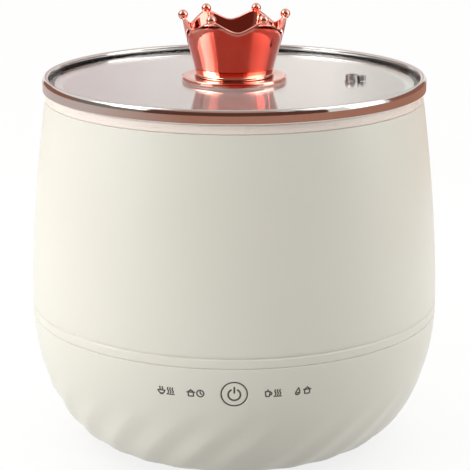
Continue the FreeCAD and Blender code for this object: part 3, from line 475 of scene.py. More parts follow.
def fluted_base(body, edge):
    """Base shell: a fluted outer skin, a flat underside with a recess and a round inner wall, all one closed grid.

    A row is one height; a column follows a ridge as it turns. Blocks of cells are left out at the key and at the
    power inlet, and rings of quads run from each block's border into the opening.
    """
    heights, insets = base_rows()
    heading = base_headings(heights, body)
    outer = round_points(skin_radius(heading, heights[:, None], insets[:, None], body), heading, heights[:, None])

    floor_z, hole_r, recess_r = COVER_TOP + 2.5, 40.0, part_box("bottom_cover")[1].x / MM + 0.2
    wall = heights[heights > floor_z + 1][::-1]
    wall_r = (barrel_radius(wall) - BASE_WALL)[:, None]
    inner = round_points(wall_r, base_headings(wall, body), wall[:, None])
    under = corner_arc((BARREL_FOOT_R, FLOOR_PLANE), (recess_r, FLOOR_PLANE), (recess_r, COVER_TOP), 0.4)
    under = np.vstack([under, [(recess_r, COVER_TOP), (hole_r, COVER_TOP), (hole_r, floor_z),
                               (wall_r[0, 0] - 1, floor_z)]])
    floor = round_points(under[:, :1], heading[-1], under[:, 1:])

    grid = np.concatenate([outer, floor, inner])
    rows, columns = grid.shape[:2]
    index = np.arange(rows * columns).reshape(rows, columns)
    keep = np.ones((rows, columns), bool)
    points, strips, count = [grid.reshape(-1, 3)], [], rows * columns
    for opening in OPENINGS:
        (top, bottom), (left, right) = opening_block(opening, heights, heading)
        row, column = block_border((top, bottom), (left, right))
        outer_loop, inner_loop = index[row, column % columns], index[rows - 1 - row, column % columns]
        taken = np.arange(left, right) % columns
        keep[top:bottom, taken] = keep[rows - 1 - bottom:rows - 1 - top, taken] = False
        border = points[0][outer_loop]
        rings = opening_rings(border, opening, edge, body)
        ring_index = count + np.arange(rings[..., 0].size).reshape(rings.shape[:2])
        strip = grid_quads(np.vstack([outer_loop, ring_index, inner_loop]))
        strips.append(strip if runs_outward(border, opening.side) else strip[:, ::-1])
        points.append(rings.reshape(-1, 3))
        count += ring_index.size
    faces = grid_quads(np.vstack([index, index[:1]]))[keep.reshape(-1)]
    return np.vstack(points), np.vstack([faces, *strips])


# ---------------------------------------------------------------- Barrel, band, collar and what they hold

def barrel_wall():
    """Tall wall: the barrel curve outside and inside, with rounded edges at both ends."""
    edge = 0.35
    height = np.linspace(BAND_TOP + 2 * edge, SHELL_TOP - 2 * edge, 70)
    outside = np.stack([barrel_radius(height), height], axis=-1)
    foot_r, crest_r = BARREL_R - 0.12, float(barrel_radius(SHELL_TOP))
    foot_inside, crest_inside = (foot_r - SHELL_WALL, BAND_TOP), (crest_r - SHELL_WALL, SHELL_TOP)
    foot = corner_arc(foot_inside, (foot_r, BAND_TOP), (foot_r, BAND_TOP + 5 * edge), edge)
    crest = corner_arc(outside[-1], (crest_r, SHELL_TOP), crest_inside, edge)
    inside = outside[::-1] - [SHELL_WALL, 0]
    return turned(np.vstack([foot, outside, crest, crest_inside, inside, foot_inside]), BARREL_COLUMNS)


def waist_band():
    """Band between barrel and base: proud by a hair, a bright bevel on top, a groove below and a shelf inside."""
    groove_top, bevel_top = BASE_TOP + 0.36, BAND_TOP - 0.05
    groove_r, tongue_r = float(barrel_radius(BASE_TOP)) - 0.32, 97.5
    lap_r, lap_top, inner_r, tongue_low, shelf_r = 97.1, BASE_TOP + 0.1, 95.4, 78.0, 80.5
    return turned(outline([
        (inner_r, SHELF_LOW, 0), (lap_r, SHELF_LOW, 0), (lap_r, lap_top, 0), (groove_r, lap_top, 0),
        (groove_r, groove_top, 0), (BARREL_R - 0.05, groove_top, 0.16), (BARREL_R, WAIST_Z, 0),
        (BARREL_R, BAND_TOP - 0.95, 0.3), (BARREL_R - 0.75, bevel_top, 0.2), (tongue_r, bevel_top, 0),
        (tongue_r, tongue_low, 0.3), (inner_r, tongue_low, 0.3), (inner_r, SHELF_TOP, 0),
        (shelf_r, SHELF_TOP, 0.3), (shelf_r, SHELF_LOW, 0.3),
    ]), BARREL_COLUMNS)


def mouth_collar():
    """Ring at the barrel's mouth: a skirt inside the wall, a lower step, a soft shoulder and the pot rim's seat."""
    top_r, bore_r, seat_r, seat_z = BARREL_TOP_R - 0.15, 85.7, 89.7, COLLAR_TOP - 1.5
    skirt_in, skirt_out, skirt_low = 87.6, 88.6, 160.0
    shadow_r, shadow_z, step_z = top_r - 0.5, SHELL_TOP + 0.35, SHELL_TOP + 2.0
    return turned(outline([
        (bore_r, SHELL_TOP, 0.2), (skirt_in, SHELL_TOP, 0), (skirt_in, skirt_low, 0.2), (skirt_out, skirt_low, 0.2),
        (skirt_out, SHELL_TOP, 0), (shadow_r, SHELL_TOP, 0), (shadow_r, shadow_z, 0), (top_r, shadow_z, 0.15),
        (top_r - 0.1, step_z, 0.12), (top_r - 0.35, step_z + 0.1, 0.12), (top_r - 0.55, COLLAR_TOP, 0.5),
        (seat_r, COLLAR_TOP, 0.3), (seat_r, seat_z, 0), (bore_r, seat_z, 0.4),
    ]), BARREL_COLUMNS)


def cooking_pot():
    """Drawn pot: a flat bottom, a curved lower corner, an upright wall and a rim turned outwards."""
    wall_r, wall, bottom, bend_r = 84.5, 1.8, 80.1, 18.0
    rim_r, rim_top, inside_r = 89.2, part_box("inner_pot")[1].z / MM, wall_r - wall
    rim_low = rim_top - 1.7
    return turned(outline([
        (0, bottom, 0), (wall_r, bottom, bend_r), (wall_r, rim_low, 0.5), (rim_r, rim_low, 0.6),
        (rim_r, rim_top, 0.6), (inside_r, rim_top, 1.3), (inside_r, bottom + wall, bend_r - wall),
        (0, bottom + wall, 0),
    ], 14), 300)


def shield_can():
    """Sheet can round the pot with a rolled upper edge and a floor that is open in the middle."""
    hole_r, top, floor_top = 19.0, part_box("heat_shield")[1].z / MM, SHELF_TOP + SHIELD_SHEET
    inside_r = SHIELD_R - SHIELD_SHEET
    return turned(outline([
        (hole_r, SHELF_TOP, 0.3), (SHIELD_R, SHELF_TOP, 1.6), (SHIELD_R, top, 0.35), (inside_r, top, 0.35),
        (inside_r, floor_top, 0.8), (hole_r, floor_top, 0.3),
    ]), 300)


def hot_plate():
    """Cast plate with a turned face, a chamfered edge and the element's rib underneath."""
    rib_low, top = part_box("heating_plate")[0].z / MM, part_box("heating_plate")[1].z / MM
    under, hole_r, rib_in, rib_out, plate_r = top - 6.0, 17.0, 47.0, 57.0, 72.0
    return turned(outline([
        (hole_r, under, 0.4), (rib_in, under, 0.8), (rib_in, rib_low, 1.2), (rib_out, rib_low, 1.2),
        (rib_out, under, 0.8), (plate_r, under, 0.8), (plate_r, top, 1.0), (hole_r, top, 0.8),
    ]), 240)


def probe_cap():
    """Spun cap over the temperature sensor, with a retaining flange."""
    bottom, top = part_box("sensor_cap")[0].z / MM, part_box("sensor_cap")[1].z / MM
    cap_r, inner_r, flange_r, sheet = 13.0, 11.8, 16.0, 1.0
    under = top - (cap_r - inner_r)
    return turned(outline([
        (0, top, 0), (cap_r, top, 1.2), (cap_r, bottom + sheet, 0.3), (flange_r, bottom + sheet, 0.3),
        (flange_r, bottom, 0.3), (inner_r, bottom, 0.3), (inner_r, under, 0.4), (0, under, 0),
    ]), 120)


def rubber_foot():
    """Foot with a rounded tread edge and a shallow dimple."""
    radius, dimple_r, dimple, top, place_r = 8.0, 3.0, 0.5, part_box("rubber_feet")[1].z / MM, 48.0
    return turned(outline([
        (0, dimple, 0), (dimple_r, dimple, 0.15), (dimple_r, 0, 0.3), (radius, 0, 0.8), (radius, top, 0.3),
        (0, top, 0),
    ]), 64, (place_r, 0.0))


# ---------------------------------------------------------------- Key, marks and power inlet

def key_ring(angle, radius, inset):
    """Circle of the key, laid on the barrel's surface and moved inwards by inset."""
    across, height = radius * np.cos(angle), KEY_Z + radius * np.sin(angle)
    deep = -np.sqrt((barrel_radius(height) - inset) ** 2 - across**2)
    return np.stack([across, deep, height], axis=-1)


# Back of the key as (radius, depth along Y): the gap's depth, the flange behind the wall and the stem
KEY_BACK = ((KEY_R, -95.4), (KEY_R, -95.05), (7.1, -95.0), (7.2, -94.9), (7.2, -93.5), (7.1, -93.4), (2.1, -93.4),
            (2.0, -93.2), (2.0, -90.4), (0.0, -90.4))
KEY_INSET = 0.1


def key_cap():
    """Round key: a domed face that follows the barrel, a rounded edge, a flange behind the wall and a stem."""
    edge, angle = 0.35, headings(96)
    rings = [key_ring(angle, radius, KEY_INSET) for radius in np.linspace(0, KEY_R - edge, 14)]
    for bend in np.linspace(0, math.pi / 2, 7)[1:]:
        rings.append(key_ring(angle, KEY_R - edge * (1 - math.sin(bend)), KEY_INSET + edge * (1 - math.cos(bend))))
    for radius, depth in KEY_BACK:
        rings.append(key_ring(angle, radius, 0.0))
        rings[-1][:, 1] = depth
    return tube(np.stack(rings))


def key_gap_shade():
    """Dark ring in the gap round the key, a little below both surfaces: painted shade that darkens the gap."""
    inner_r, outer_r = KEY_R + 0.02, KEY_HOLE_R - 0.02
    section = ((inner_r, 0.22), (KEY_R + 0.3, 0.16), (outer_r, 0.22), (outer_r, 1.2), (inner_r, 1.2))
    return tube(np.stack([key_ring(headings(120), radius, inset) for radius, inset in section]))


def resampled(path, spacing):
    """The same path with points evenly spaced along it."""
    path = np.asarray(path, float)
    run = np.concatenate([[0], np.cumsum(np.linalg.norm(np.diff(path, axis=0), axis=1))])
    even = np.linspace(0, run[-1], max(3, int(run[-1] / spacing) + 2))
    return np.stack([np.interp(even, run, path[:, 0]), np.interp(even, run, path[:, 1])], axis=-1)


def printed_stroke(path, width, height):
    """Flat rounded bar along a drawn line: its section is an ellipse and both ends close as half circles."""
    path = resampled(path, width * 0.4)
    along = np.gradient(path, axis=0)
    along /= np.linalg.norm(along, axis=1, keepdims=True)
    bend = np.linspace(math.pi / 2, 0, 5)[:-1]
    start = path[:1] - along[:1] * (np.sin(bend) * width / 2)[:, None]
    end = path[-1:] + along[-1:] * (np.sin(bend[::-1]) * width / 2)[:, None]
    centre = np.vstack([start, path, end])
    direction = np.vstack([np.repeat(along[:1], 4, 0), along, np.repeat(along[-1:], 4, 0)])
    share = np.concatenate([np.cos(bend), np.ones(len(path)), np.cos(bend[::-1])])[:, None]
    square = np.stack([-direction[:, 1], direction[:, 0]], axis=-1)
    angle = headings(8)
    across = centre[:, None] + square[:, None] * (share * np.cos(angle) * width / 2)[..., None]
    proud = share * np.sin(angle) * height
    return tube(np.concatenate([across, proud[..., None]], axis=-1))


def printed_sign(lines, size, shift, width, height):
    """Strokes of a sign that is drawn from -1 to 1, scaled by size and shifted sideways."""
    return [printed_stroke(np.asarray(line, float) * size + [shift, 0.0], width, height) for line in lines]


def wrapped(shapes, heading, inset=0.0):
    """Flat drawings (across, up, proud) laid on the barrel round a heading, level with the key."""
    points, faces = joined(shapes)
    height = KEY_Z + points[:, 1]
    radius = barrel_radius(height) + points[:, 2] - inset
    return round_points(radius, heading + points[:, 0] / BARREL_R, height), faces


def arc(centre, radius, first, last, count=24, squash=1.0):
    """Points of a circular or flattened arc; angles are degrees."""
    angle = np.radians(np.linspace(first, last, count))
    return np.stack([centre[0] + radius * np.cos(angle), centre[1] + radius * squash * np.sin(angle)], axis=-1)


def wave(x, bottom, top, swing):
    """Upright wavy line of rising steam."""
    up = np.linspace(bottom, top, 14)
    return np.stack([x + swing * np.sin((up - bottom) / (top - bottom) * FULL_TURN), up], axis=-1)


def flame():
    """Flame: a drop that leans at its tip, with a small tongue inside."""
    turn = np.linspace(0, FULL_TURN, 40)
    drop = np.stack([0.62 * np.sin(turn) * (0.55 - 0.45 * np.cos(turn)) * 1.25 + 0.14 * np.cos(turn) - 0.05,
                     0.95 * np.cos(turn)], axis=-1)
    return [drop, arc((0.0, -0.62), 0.26, 20, 160, 8)]


def bowl():
    """Bowl on a foot with steam above it."""
    return [arc((0.0, 0.05), 0.85, 180, 360, 24), [(-0.95, 0.05), (0.95, 0.05)], [(-0.35, -0.95), (0.35, -0.95)],
            wave(-0.35, 0.35, 0.95, 0.10), wave(0.30, 0.35, 0.95, 0.10)]


def saucepan():
    """Pot with a lid and two handles."""
    return [[(-0.65, 0.25), (-0.65, -0.85), (0.65, -0.85), (0.65, 0.25)], [(-0.95, 0.25), (0.95, 0.25)],
            arc((0.0, 0.25), 0.6, 0, 180, 18, 0.75), [(0.0, 0.72), (0.0, 0.92)]]


def steam():
    """Three lines of steam over a tray."""
    return [wave(x, -0.45, 0.9, 0.14) for x in (-0.6, 0.0, 0.6)] + [[(-0.9, -0.85), (0.9, -0.85)]]


def cup():
    """Cup with a handle."""
    return [[(-0.75, 0.55), (-0.60, -0.80), (0.25, -0.80), (0.45, 0.55), (-0.75, 0.55)],
            arc((0.48, -0.05), 0.38, -85, 85, 14), wave(-0.15, 0.70, 1.0, 0.06)]


def clock():
    """Clock face with two hands."""
    return [arc((0.0, 0.0), 0.88, 0, 360, 40), [(0.0, 0.5), (0.0, 0.0), (0.38, -0.2)]]


def power_sign(panel):
    """Broken ring with a bar in its gap, in heavier strokes, wrapped on the key."""
    lines = [arc((0.0, -0.06), 0.80, 122, 418, 48), [(0.0, 0.22), (0.0, 0.98)]]
    strokes = printed_sign(lines, 3.5, 0.0, panel.stroke * 1.25 / MM, panel.ink_height / MM)
    return wrapped(strokes, FRONT, KEY_INSET)


# Each function mark is a pair of small signs, by its heading from the front in degrees
FUNCTION_MARKS = ((-18.1, (bowl, steam)), (-10.1, (saucepan, clock)), (10.1, (cup, steam)), (18.1, (flame, saucepan)))


def function_mark(heading, signs, panel):
    """Two signs side by side, drawn in printed strokes and wrapped on the base."""
    tall, width, height = panel.mark_height / MM, panel.stroke / MM, panel.ink_height / MM
    strokes = []
    for side, sign in zip((-1, 1), signs):
        strokes += printed_sign(sign(), tall * 0.44, side * tall * 0.52, width, height)
    return wrapped(strokes, FRONT + math.radians(heading))


def inlet_ring(half_width, half_height, depth, bevel):
    """One ring of the inlet: a rounded rectangle, with its two lower corners cut when bevel is not 0."""
    flat = superellipse(headings(96), half_width, half_height, 16.0)
    over = np.abs(flat[:, 0]) - flat[:, 1] - (half_width + half_height - bevel)
    cut = np.clip(over, 0, None)[:, None] / 2
    flat = flat - cut * np.stack([np.sign(flat[:, 0]), -np.ones(len(flat))], axis=-1)
    return np.stack([flat[:, 0], np.full(len(flat), depth), flat[:, 1] + INLET_Z], axis=-1)


def inlet_body():
    """Panel inlet: the socket hollow, a rounded mouth, the outer body and the flange behind the wall."""
    wide, tall, socket_wide, socket_tall, flange_wide, flange_tall = 14.0, 10.25, 12.0, 8.0, 23.0, 11.5
    mouth, flange_y, back_y, point = INLET_MOUTH_Y, 83.0, 74.0, 0.001
    socket_floor, socket_bevel, bevel = mouth - 16.5, 4.0, 0.3
    rows = [(point, point, socket_floor, 0)]
    for grow, depth in ((-0.4, socket_floor), (0.0, socket_floor + 0.4), (0.0, mouth - 0.9), (0.1, mouth - 0.35),
                        (0.4, mouth)):
        rows.append((socket_wide + grow, socket_tall + grow, depth, socket_bevel))
    for grow, depth in ((-0.5, mouth), (-0.15, mouth - 0.12), (0.0, mouth - 0.5), (0.0, INLET_PAD_Y + 0.01)):
        rows.append((wide + grow, tall + grow, depth, bevel))
    rows += [(flange_wide, flange_tall, INLET_PAD_Y, bevel), (flange_wide, flange_tall, flange_y, bevel),
             (wide, tall, flange_y, bevel), (wide, tall, back_y, bevel), (point, point, back_y, 0)]
    return tube(np.stack([inlet_ring(*row) for row in rows]))


# ---------------------------------------------------------------- Lid and crown

def rim_channel(lid):
    """Steel channel: a lip under the glass, an upright band with a rolled bead on top and a short inner face.

    The bead is a quarter of an ellipse on each side of its crest, as wide as the bead and as tall as its shoulder.
    """
    bead, shoulder, inner_shoulder = lid.bead / MM, lid.shoulder / MM, lid.inner_shoulder / MM
    lip_r, inner_r, over_glass, straight = 87.0, LID_R - 2 * bead, GLASS_TOP + 0.02, 0.3
    angle = np.linspace(0, math.pi, 31)
    drop = np.where(angle < math.pi / 2, shoulder, inner_shoulder)
    roll = np.stack([LID_R - bead + bead * np.cos(angle), RIM_TOP - drop * (1 - np.sin(angle))], axis=-1)
    inner = [(inner_r, RIM_TOP - inner_shoulder - straight), (inner_r, over_glass), (GLASS_R, over_glass),
             (GLASS_R, GLASS_LOW), (lip_r, GLASS_LOW)]
    foot_in = corner_arc((lip_r, GLASS_LOW), (lip_r, LID_BOTTOM), (LID_R, LID_BOTTOM), 0.15)
    foot_out = corner_arc((lip_r, LID_BOTTOM), (LID_R, LID_BOTTOM), (LID_R, RIM_TOP), 0.45)
    band = [(LID_R, LID_BOTTOM + 1.5), (LID_R, RIM_TOP - shoulder - straight)]
    return turned(np.vstack([roll, inner, foot_in, foot_out, band]), 480)


def collar_ring(x, radii, rise, under):
    """Turned collar with a rounded crest over a neck through the glass; its radii are the crest, neck and bore.

    Where under is wider than the neck, the neck ends in a disc of that radius under the glass.
    """
    outer, neck, bore = radii
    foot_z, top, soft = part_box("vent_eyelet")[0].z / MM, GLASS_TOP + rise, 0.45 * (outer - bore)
    foot = [(bore, foot_z, 0), (neck, foot_z, 0)]
    if under > neck:
        foot = [(bore, foot_z, 0), (under, foot_z, 0.2), (under, GLASS_LOW, 0), (neck, GLASS_LOW, 0)]
    crest = [(neck, GLASS_TOP, 0), (outer, GLASS_TOP, 0.1), (outer, top, soft), (bore, top, soft)]
    return turned(outline(foot + crest), 96, (x, VENT_Y))


def vent_grommet():
    """Steam eyelet: a wide and a narrow rolled collar side by side, each over its own neck."""
    wide, narrow, spacing = (3.2, 2.7, 2.0), (1.85, 1.3, 0.9), 5.0
    narrow_x = VENT_END_X - narrow[0]
    return joined([collar_ring(narrow_x - spacing, wide, 2.8, 3.8), collar_ring(narrow_x, narrow, 2.4, 0.0)])


# Where the crown's balls stand, and the poles (radius, height) of its flared outer wall
BALL_PLACE_R = 24.7
CROWN_POLES = ((18.8, 183.8), (20.4, 192.5), (24.9, 203.0), (25.4, 212.6))
CROWN_FOOT = CROWN_POLES[0][1]
CROWN_FLOOR = 187.0
CROWN_COLUMNS = 480


def bezier(poles, count):
    """Cubic Bezier curve: its four poles weighted by the Bernstein polynomials."""
    t = np.linspace(0, 1, count)[:, None]
    a, b, c, d = (np.asarray(pole, float) for pole in poles)
    return (1 - t) ** 3 * a + 3 * t * (1 - t) ** 2 * b + 3 * t**2 * (1 - t) * c + t**3 * d


def crown_flare(height):
    """Outer radius of the crown at a height, read off its Bezier curve."""
    radius, rise = bezier(CROWN_POLES, 400).T
    return np.interp(height, rise, radius)


def crown_rim_height(heading, crown):
    """Height of the rim: a hyperbola between two points, round in the valley and nearly straight up to the tips."""
    step, round_off = FULL_TURN / crown.points, 3.0
    away = ((heading - math.radians(crown.turn)) % step) - step / 2
    reach, tip_reach = BALL_PLACE_R * np.abs(np.sin(away)), BALL_PLACE_R * math.sin(step / 2)
    rise = (np.sqrt(reach**2 + round_off**2) - round_off) / (math.sqrt(tip_reach**2 + round_off**2) - round_off)
    return crown.valley / MM + (crown.tip - crown.valley) / MM * rise


def threefold(heading, crown, place):
    """A wave of 0 to 1 with three crests round the crown, the first one a number of degrees from its first point."""
    return 0.5 + 0.5 * np.cos(3 * (heading - math.radians(crown.turn + place)))


def crown_wall(crown):
    """Flared wall up to the scalloped rim, over a rounded lip and down inside to a closed floor, and its lacquer.

    The lacquer is 1 on the broad outside. It is thinner along three streaks of paler plating, painted highlights set
    where the bright card's reflection falls on the left (a high power of a raised cosine). It is 0 at the outside's
    upper and lower edge, a little on the lip and more inside.
    """
    heading, sheet = headings(CROWN_COLUMNS), crown.sheet / MM
    half = sheet / 2
    lip_z = (crown_rim_height(heading, crown) - half)[None, :]
    share = (1 - np.cos(np.linspace(0, math.pi, 60)))[:, None] / 2
    outside_z = CROWN_FOOT + (lip_z - CROWN_FOOT) * share
    roll = np.linspace(0, math.pi, 11)[1:-1, None]
    inside_z = CROWN_FLOOR + (lip_z - CROWN_FLOOR) * share[::-1]
    floor_r = (crown_flare(CROWN_FLOOR) - sheet) * np.array([0.94, 0.5, 0.0])[:, None] + 0 * lip_z
    bottom_r = 0 * lip_z
    radius = np.concatenate([crown_flare(outside_z), crown_flare(lip_z) - half + half * np.cos(roll),
                             crown_flare(inside_z) - sheet, floor_r, bottom_r])
    height = np.concatenate([outside_z, lip_z + half * np.sin(roll), inside_z, CROWN_FLOOR - 0.2 + 0 * floor_r,
                             CROWN_FOOT + bottom_r])
    broad = np.clip(share / 0.05, 0, 1) * np.clip((1 - share) / 0.06, 0, 1)
    rows, lip_rows, lacquer_and_painted_light = len(share), len(roll), np.zeros(radius.shape)
    # Three paler streaks: painted highlights where the left card's reflection falls on the wall
    lacquer_and_painted_light[:rows] = broad * (1 - 0.42 * threefold(heading, crown, crown.painted_highlight_streak) ** 8)
    lacquer_and_painted_light[rows:rows + lip_rows] = 0.25
    lacquer_and_painted_light[rows + lip_rows:][:rows] = 0.6
    return tube(round_points(radius, heading, height)), lacquer_and_painted_light.ravel()


def crown_body(crown):
    """Crown, with its lacquer and painted highlights: wall, a ball on each point, foot ring and boss; only the wall
    has them.
    """
    wall, lacquer_and_painted_light = crown_wall(crown)
    tip = ball(crown.ball / MM, (BALL_PLACE_R, 0.0, crown.tip / MM))
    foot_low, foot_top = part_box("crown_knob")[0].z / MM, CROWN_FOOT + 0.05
    foot_r, boss_r, boss_top = crown_flare(CROWN_FOOT) + 0.5, 5.0, 192.0
    foot = outline([(0, foot_low, 0), (foot_r, foot_low, 0.3), (foot_r, foot_top, 0.5), (0, foot_top, 0)])
    boss = outline([(0, CROWN_FOOT, 0), (boss_r, CROWN_FOOT, 0), (boss_r, boss_top, 0.8), (0, boss_top, 0)])
    shape = joined([wall, turned_copies(tip, math.radians(crown.turn) + headings(crown.points)),
                    turned(foot, 240), turned(boss, 64)])
    return shape, np.concatenate([lacquer_and_painted_light, np.zeros(len(shape[0]) - len(lacquer_and_painted_light))])


def flange_disc(crown):
    """Plated disc under the crown, hollow underneath round its gasket, and its lacquer.

    The lacquer is 0 on the face and rises to 1 in three pools on the rounded edge, one of them at the front: deep red
    painted shade that darkens the edge where its shadow and dark reflection fall.
    """
    columns, bore_r = 300, 2.2
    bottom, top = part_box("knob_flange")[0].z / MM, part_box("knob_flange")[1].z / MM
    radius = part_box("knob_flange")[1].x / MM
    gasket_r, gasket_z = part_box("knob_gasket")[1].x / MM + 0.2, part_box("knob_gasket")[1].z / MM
    profile = outline([(bore_r, gasket_z, 0), (gasket_r, gasket_z, 0.05), (gasket_r, bottom, 0.1),
                       (radius, bottom, 0.8), (radius, top, 1.0), (bore_r, top, 0)], 10)
    # Deep red pools on the rounded edge, one at the front: painted shade
    pool = np.clip((threefold(headings(columns), crown, crown.pool) - 0.75) / 0.2, 0, 1)
    side = np.clip((profile[:, :1] - radius + 1.0) / 0.6, 0, 1)
    return turned(profile, columns), (side * pool).ravel()


# ---------------------------------------------------------------- Materials

def maths(tree, operation, *inputs):
    """Output of a maths node whose inputs are numbers or sockets."""
    node = tree.nodes.new("ShaderNodeMath")
    node.operation = operation
    for socket, value in zip(node.inputs, inputs):
        if isinstance(value, bpy.types.NodeSocket):
            tree.links.new(value, socket)
        else:
            socket.default_value = value
    return node.outputs[0]


def seen_directly(tree):
    """1 where the camera, a mirror or glass looks, and 0 for light that bounces on."""
    ray = tree.nodes.new("ShaderNodeLightPath").outputs
    seen = maths(tree, "MAXIMUM", ray["Is Camera Ray"], ray["Is Glossy Ray"])
    return maths(tree, "MAXIMUM", seen, ray["Is Transmission Ray"])


class Finish:
    """Node tree of one finish, built round its Principled shader."""

    def __init__(self, name, colour, roughness, metallic=0.0, **sockets):
        self.material = bpy.data.materials.new(name)
        self.material.use_nodes = True
        self.tree = self.material.node_tree
        self.shader = self.tree.nodes["Principled BSDF"]
        self.colour = (*tuple(colour)[:3], 1.0)
        self.shader.inputs["Base Color"].default_value = self.colour
        self.shader.inputs["Roughness"].default_value = roughness
        self.shader.inputs["Metallic"].default_value = metallic
        for socket, value in sockets.items():
            self.shader.inputs[socket.replace("_", " ")].default_value = value
        self.place = self.node("ShaderNodeTexCoord").outputs["Object"]

    def node(self, kind, **settings):
        """New node with its own settings."""
        node = self.tree.nodes.new(kind)
        for name, value in settings.items():
            setattr(node, name, value)
        return node

    def link(self, source, target):
        """Join two sockets."""
        self.tree.links.new(source, target)

    def surface(self, shader):
        """Show this shader in place of the Principled one alone."""
        self.link(shader, self.tree.nodes["Material Output"].inputs["Surface"])

    def surface_mix(self, factor, first, second):
        """Show a mix of two shaders."""
        mix = self.node("ShaderNodeMixShader")
        for source, target in zip((factor, first, second), mix.inputs):
            self.link(source, target)
        self.surface(mix.outputs["Shader"])

    def noise(self, scale, detail=3.0, stretch=(1, 1, 1), vector=None):
        """Noise in waves per metre, stretched along the object's axes."""
        mapping = self.node("ShaderNodeMapping")
        mapping.inputs["Scale"].default_value = stretch
        self.link(vector or self.place, mapping.inputs["Vector"])
        noise = self.node("ShaderNodeTexNoise")
        noise.inputs["Scale"].default_value = scale
        noise.inputs["Detail"].default_value = detail
        self.link(mapping.outputs["Vector"], noise.inputs["Vector"])
        return noise.outputs["Fac"]

    def ranged(self, value, lowest, highest, from_low=0.3, from_high=0.7):
        """A value spread between two limits."""
        spread = self.node("ShaderNodeMapRange")
        self.link(value, spread.inputs["Value"])
        limits = {"From Min": from_low, "From Max": from_high, "To Min": lowest, "To Max": highest}
        for socket, number in limits.items():
            spread.inputs[socket].default_value = number
        return spread.outputs["Result"]

    def vector(self, **parts):
        """Vector from its parts by axis."""
        node = self.node("ShaderNodeCombineXYZ")
        for axis, value in parts.items():
            self.link(value, node.inputs[axis])
        return node.outputs["Vector"]

    def round_place(self):
        """Coordinates round the pot's axis: heading, radius and height, with the heading slowed to draw out lines."""
        node = self.node("ShaderNodeSeparateXYZ")
        self.link(self.place, node.inputs["Vector"])
        x, y, z = (node.outputs[axis] for axis in "XYZ")
        heading = maths(self.tree, "MULTIPLY", maths(self.tree, "ARCTAN2", y, x), 0.004)
        radius = self.node("ShaderNodeVectorMath", operation="LENGTH")
        self.link(self.vector(X=x, Y=y), radius.inputs[0])
        return self.vector(X=heading, Y=radius.outputs["Value"], Z=z)

    def vary_colour(self, value, amount, other=None):
        """Base colour that drifts towards another one, or towards a darker one."""
        mix = self.node("ShaderNodeMix", data_type="RGBA")
        mix.inputs["A"].default_value = self.colour
        shade = tuple(channel * (1 - amount) for channel in self.colour[:3])
        mix.inputs["B"].default_value = (*(other or shade), 1.0)
        self.link(value, mix.inputs["Factor"])
        self.link(mix.outputs["Result"], self.shader.inputs["Base Color"])

    def vary_roughness(self, value, amount):
        """Roughness that drifts by an amount to both sides."""
        roughness = self.shader.inputs["Roughness"]
        centre = roughness.default_value
        self.link(self.ranged(value, max(0.02, centre - amount), centre + amount), roughness)

    def bump(self, value, height, strength):
        """Relief of a given height in metres, over any that is there."""
        bump = self.node("ShaderNodeBump")
        bump.inputs["Strength"].default_value = strength
        bump.inputs["Distance"].default_value = height
        self.link(value, bump.inputs["Height"])
        if self.shader.inputs["Normal"].is_linked:
            self.link(self.shader.inputs["Normal"].links[0].from_socket, bump.inputs["Normal"])
        self.link(bump.outputs["Normal"], self.shader.inputs["Normal"])


def satin_plastic(name, colour, roughness):
    """Moulded plastic: a faint flow pattern in the colour, a fine satin grain and slow waves in the wall."""
    finish = Finish(name, colour, roughness, Coat_Weight=0.03, Coat_Roughness=0.22, Specular_IOR_Level=0.38)
    finish.vary_colour(finish.ranged(finish.noise(14, 4.0), 0.0, 1.0), 0.025)
    finish.vary_roughness(finish.noise(60, 5.0), 0.04)
    finish.bump(finish.noise(2600, 2.0), 0.003 * MM, 0.35)
    finish.bump(finish.noise(22, 1.0), 0.10 * MM, 0.5)
    return finish.material


def matt_plastic(name, colour, roughness, grain=1500):
    """Textured plastic with a spark-eroded grain."""
    finish = Finish(name, colour, roughness)
    finish.vary_colour(finish.noise(90, 4.0), 0.10)
    finish.bump(finish.noise(grain, 3.0), 0.02 * MM, 0.6)
    return finish.material


def soft_rubber(name, colour, roughness):
    """Rubber or silicone with a dusty bloom."""
    finish = Finish(name, colour, roughness, Sheen_Weight=0.15, Sheen_Roughness=0.6)
    finish.vary_colour(finish.noise(220, 5.0), 0.18)
    finish.vary_roughness(finish.noise(400, 3.0), 0.08)
    finish.bump(finish.noise(1800, 3.0), 0.015 * MM, 0.5)
    return finish.material


def turned_metal(name, colour, roughness, line=0.004 * MM, contrast=0.06):
    """Metal with fine lines that run round the pot's axis."""
    finish = Finish(name, colour, roughness, metallic=1.0)
    lines = finish.noise(900, 4.0, vector=finish.round_place())
    finish.vary_colour(lines, contrast)
    finish.vary_roughness(finish.noise(45, 4.0), 0.04)
    finish.bump(lines, line, 0.5)
    return finish.material


def rolled_metal(name, colour, roughness, stretch):
    """Sheet, wire or screw metal with a short drawn grain and small stains."""
    finish = Finish(name, colour, roughness, metallic=1.0)
    finish.vary_colour(finish.noise(350, 5.0, stretch), 0.14)
    finish.vary_roughness(finish.noise(120, 4.0), 0.08)
    finish.bump(finish.noise(1400, 3.0, stretch), 0.006 * MM, 0.5)
    return finish.material


def cast_metal(name, colour, roughness):
    """Turned face on a casting: rings round the axis over a pitted skin."""
    finish = Finish(name, colour, roughness, metallic=1.0)
    rings = finish.noise(1500, 3.0, vector=finish.round_place())
    finish.vary_colour(finish.noise(130, 6.0), 0.16)
    finish.bump(finish.noise(700, 6.0), 0.03 * MM, 0.5)
    finish.bump(rings, 0.02 * MM, 0.7)
    return finish.material


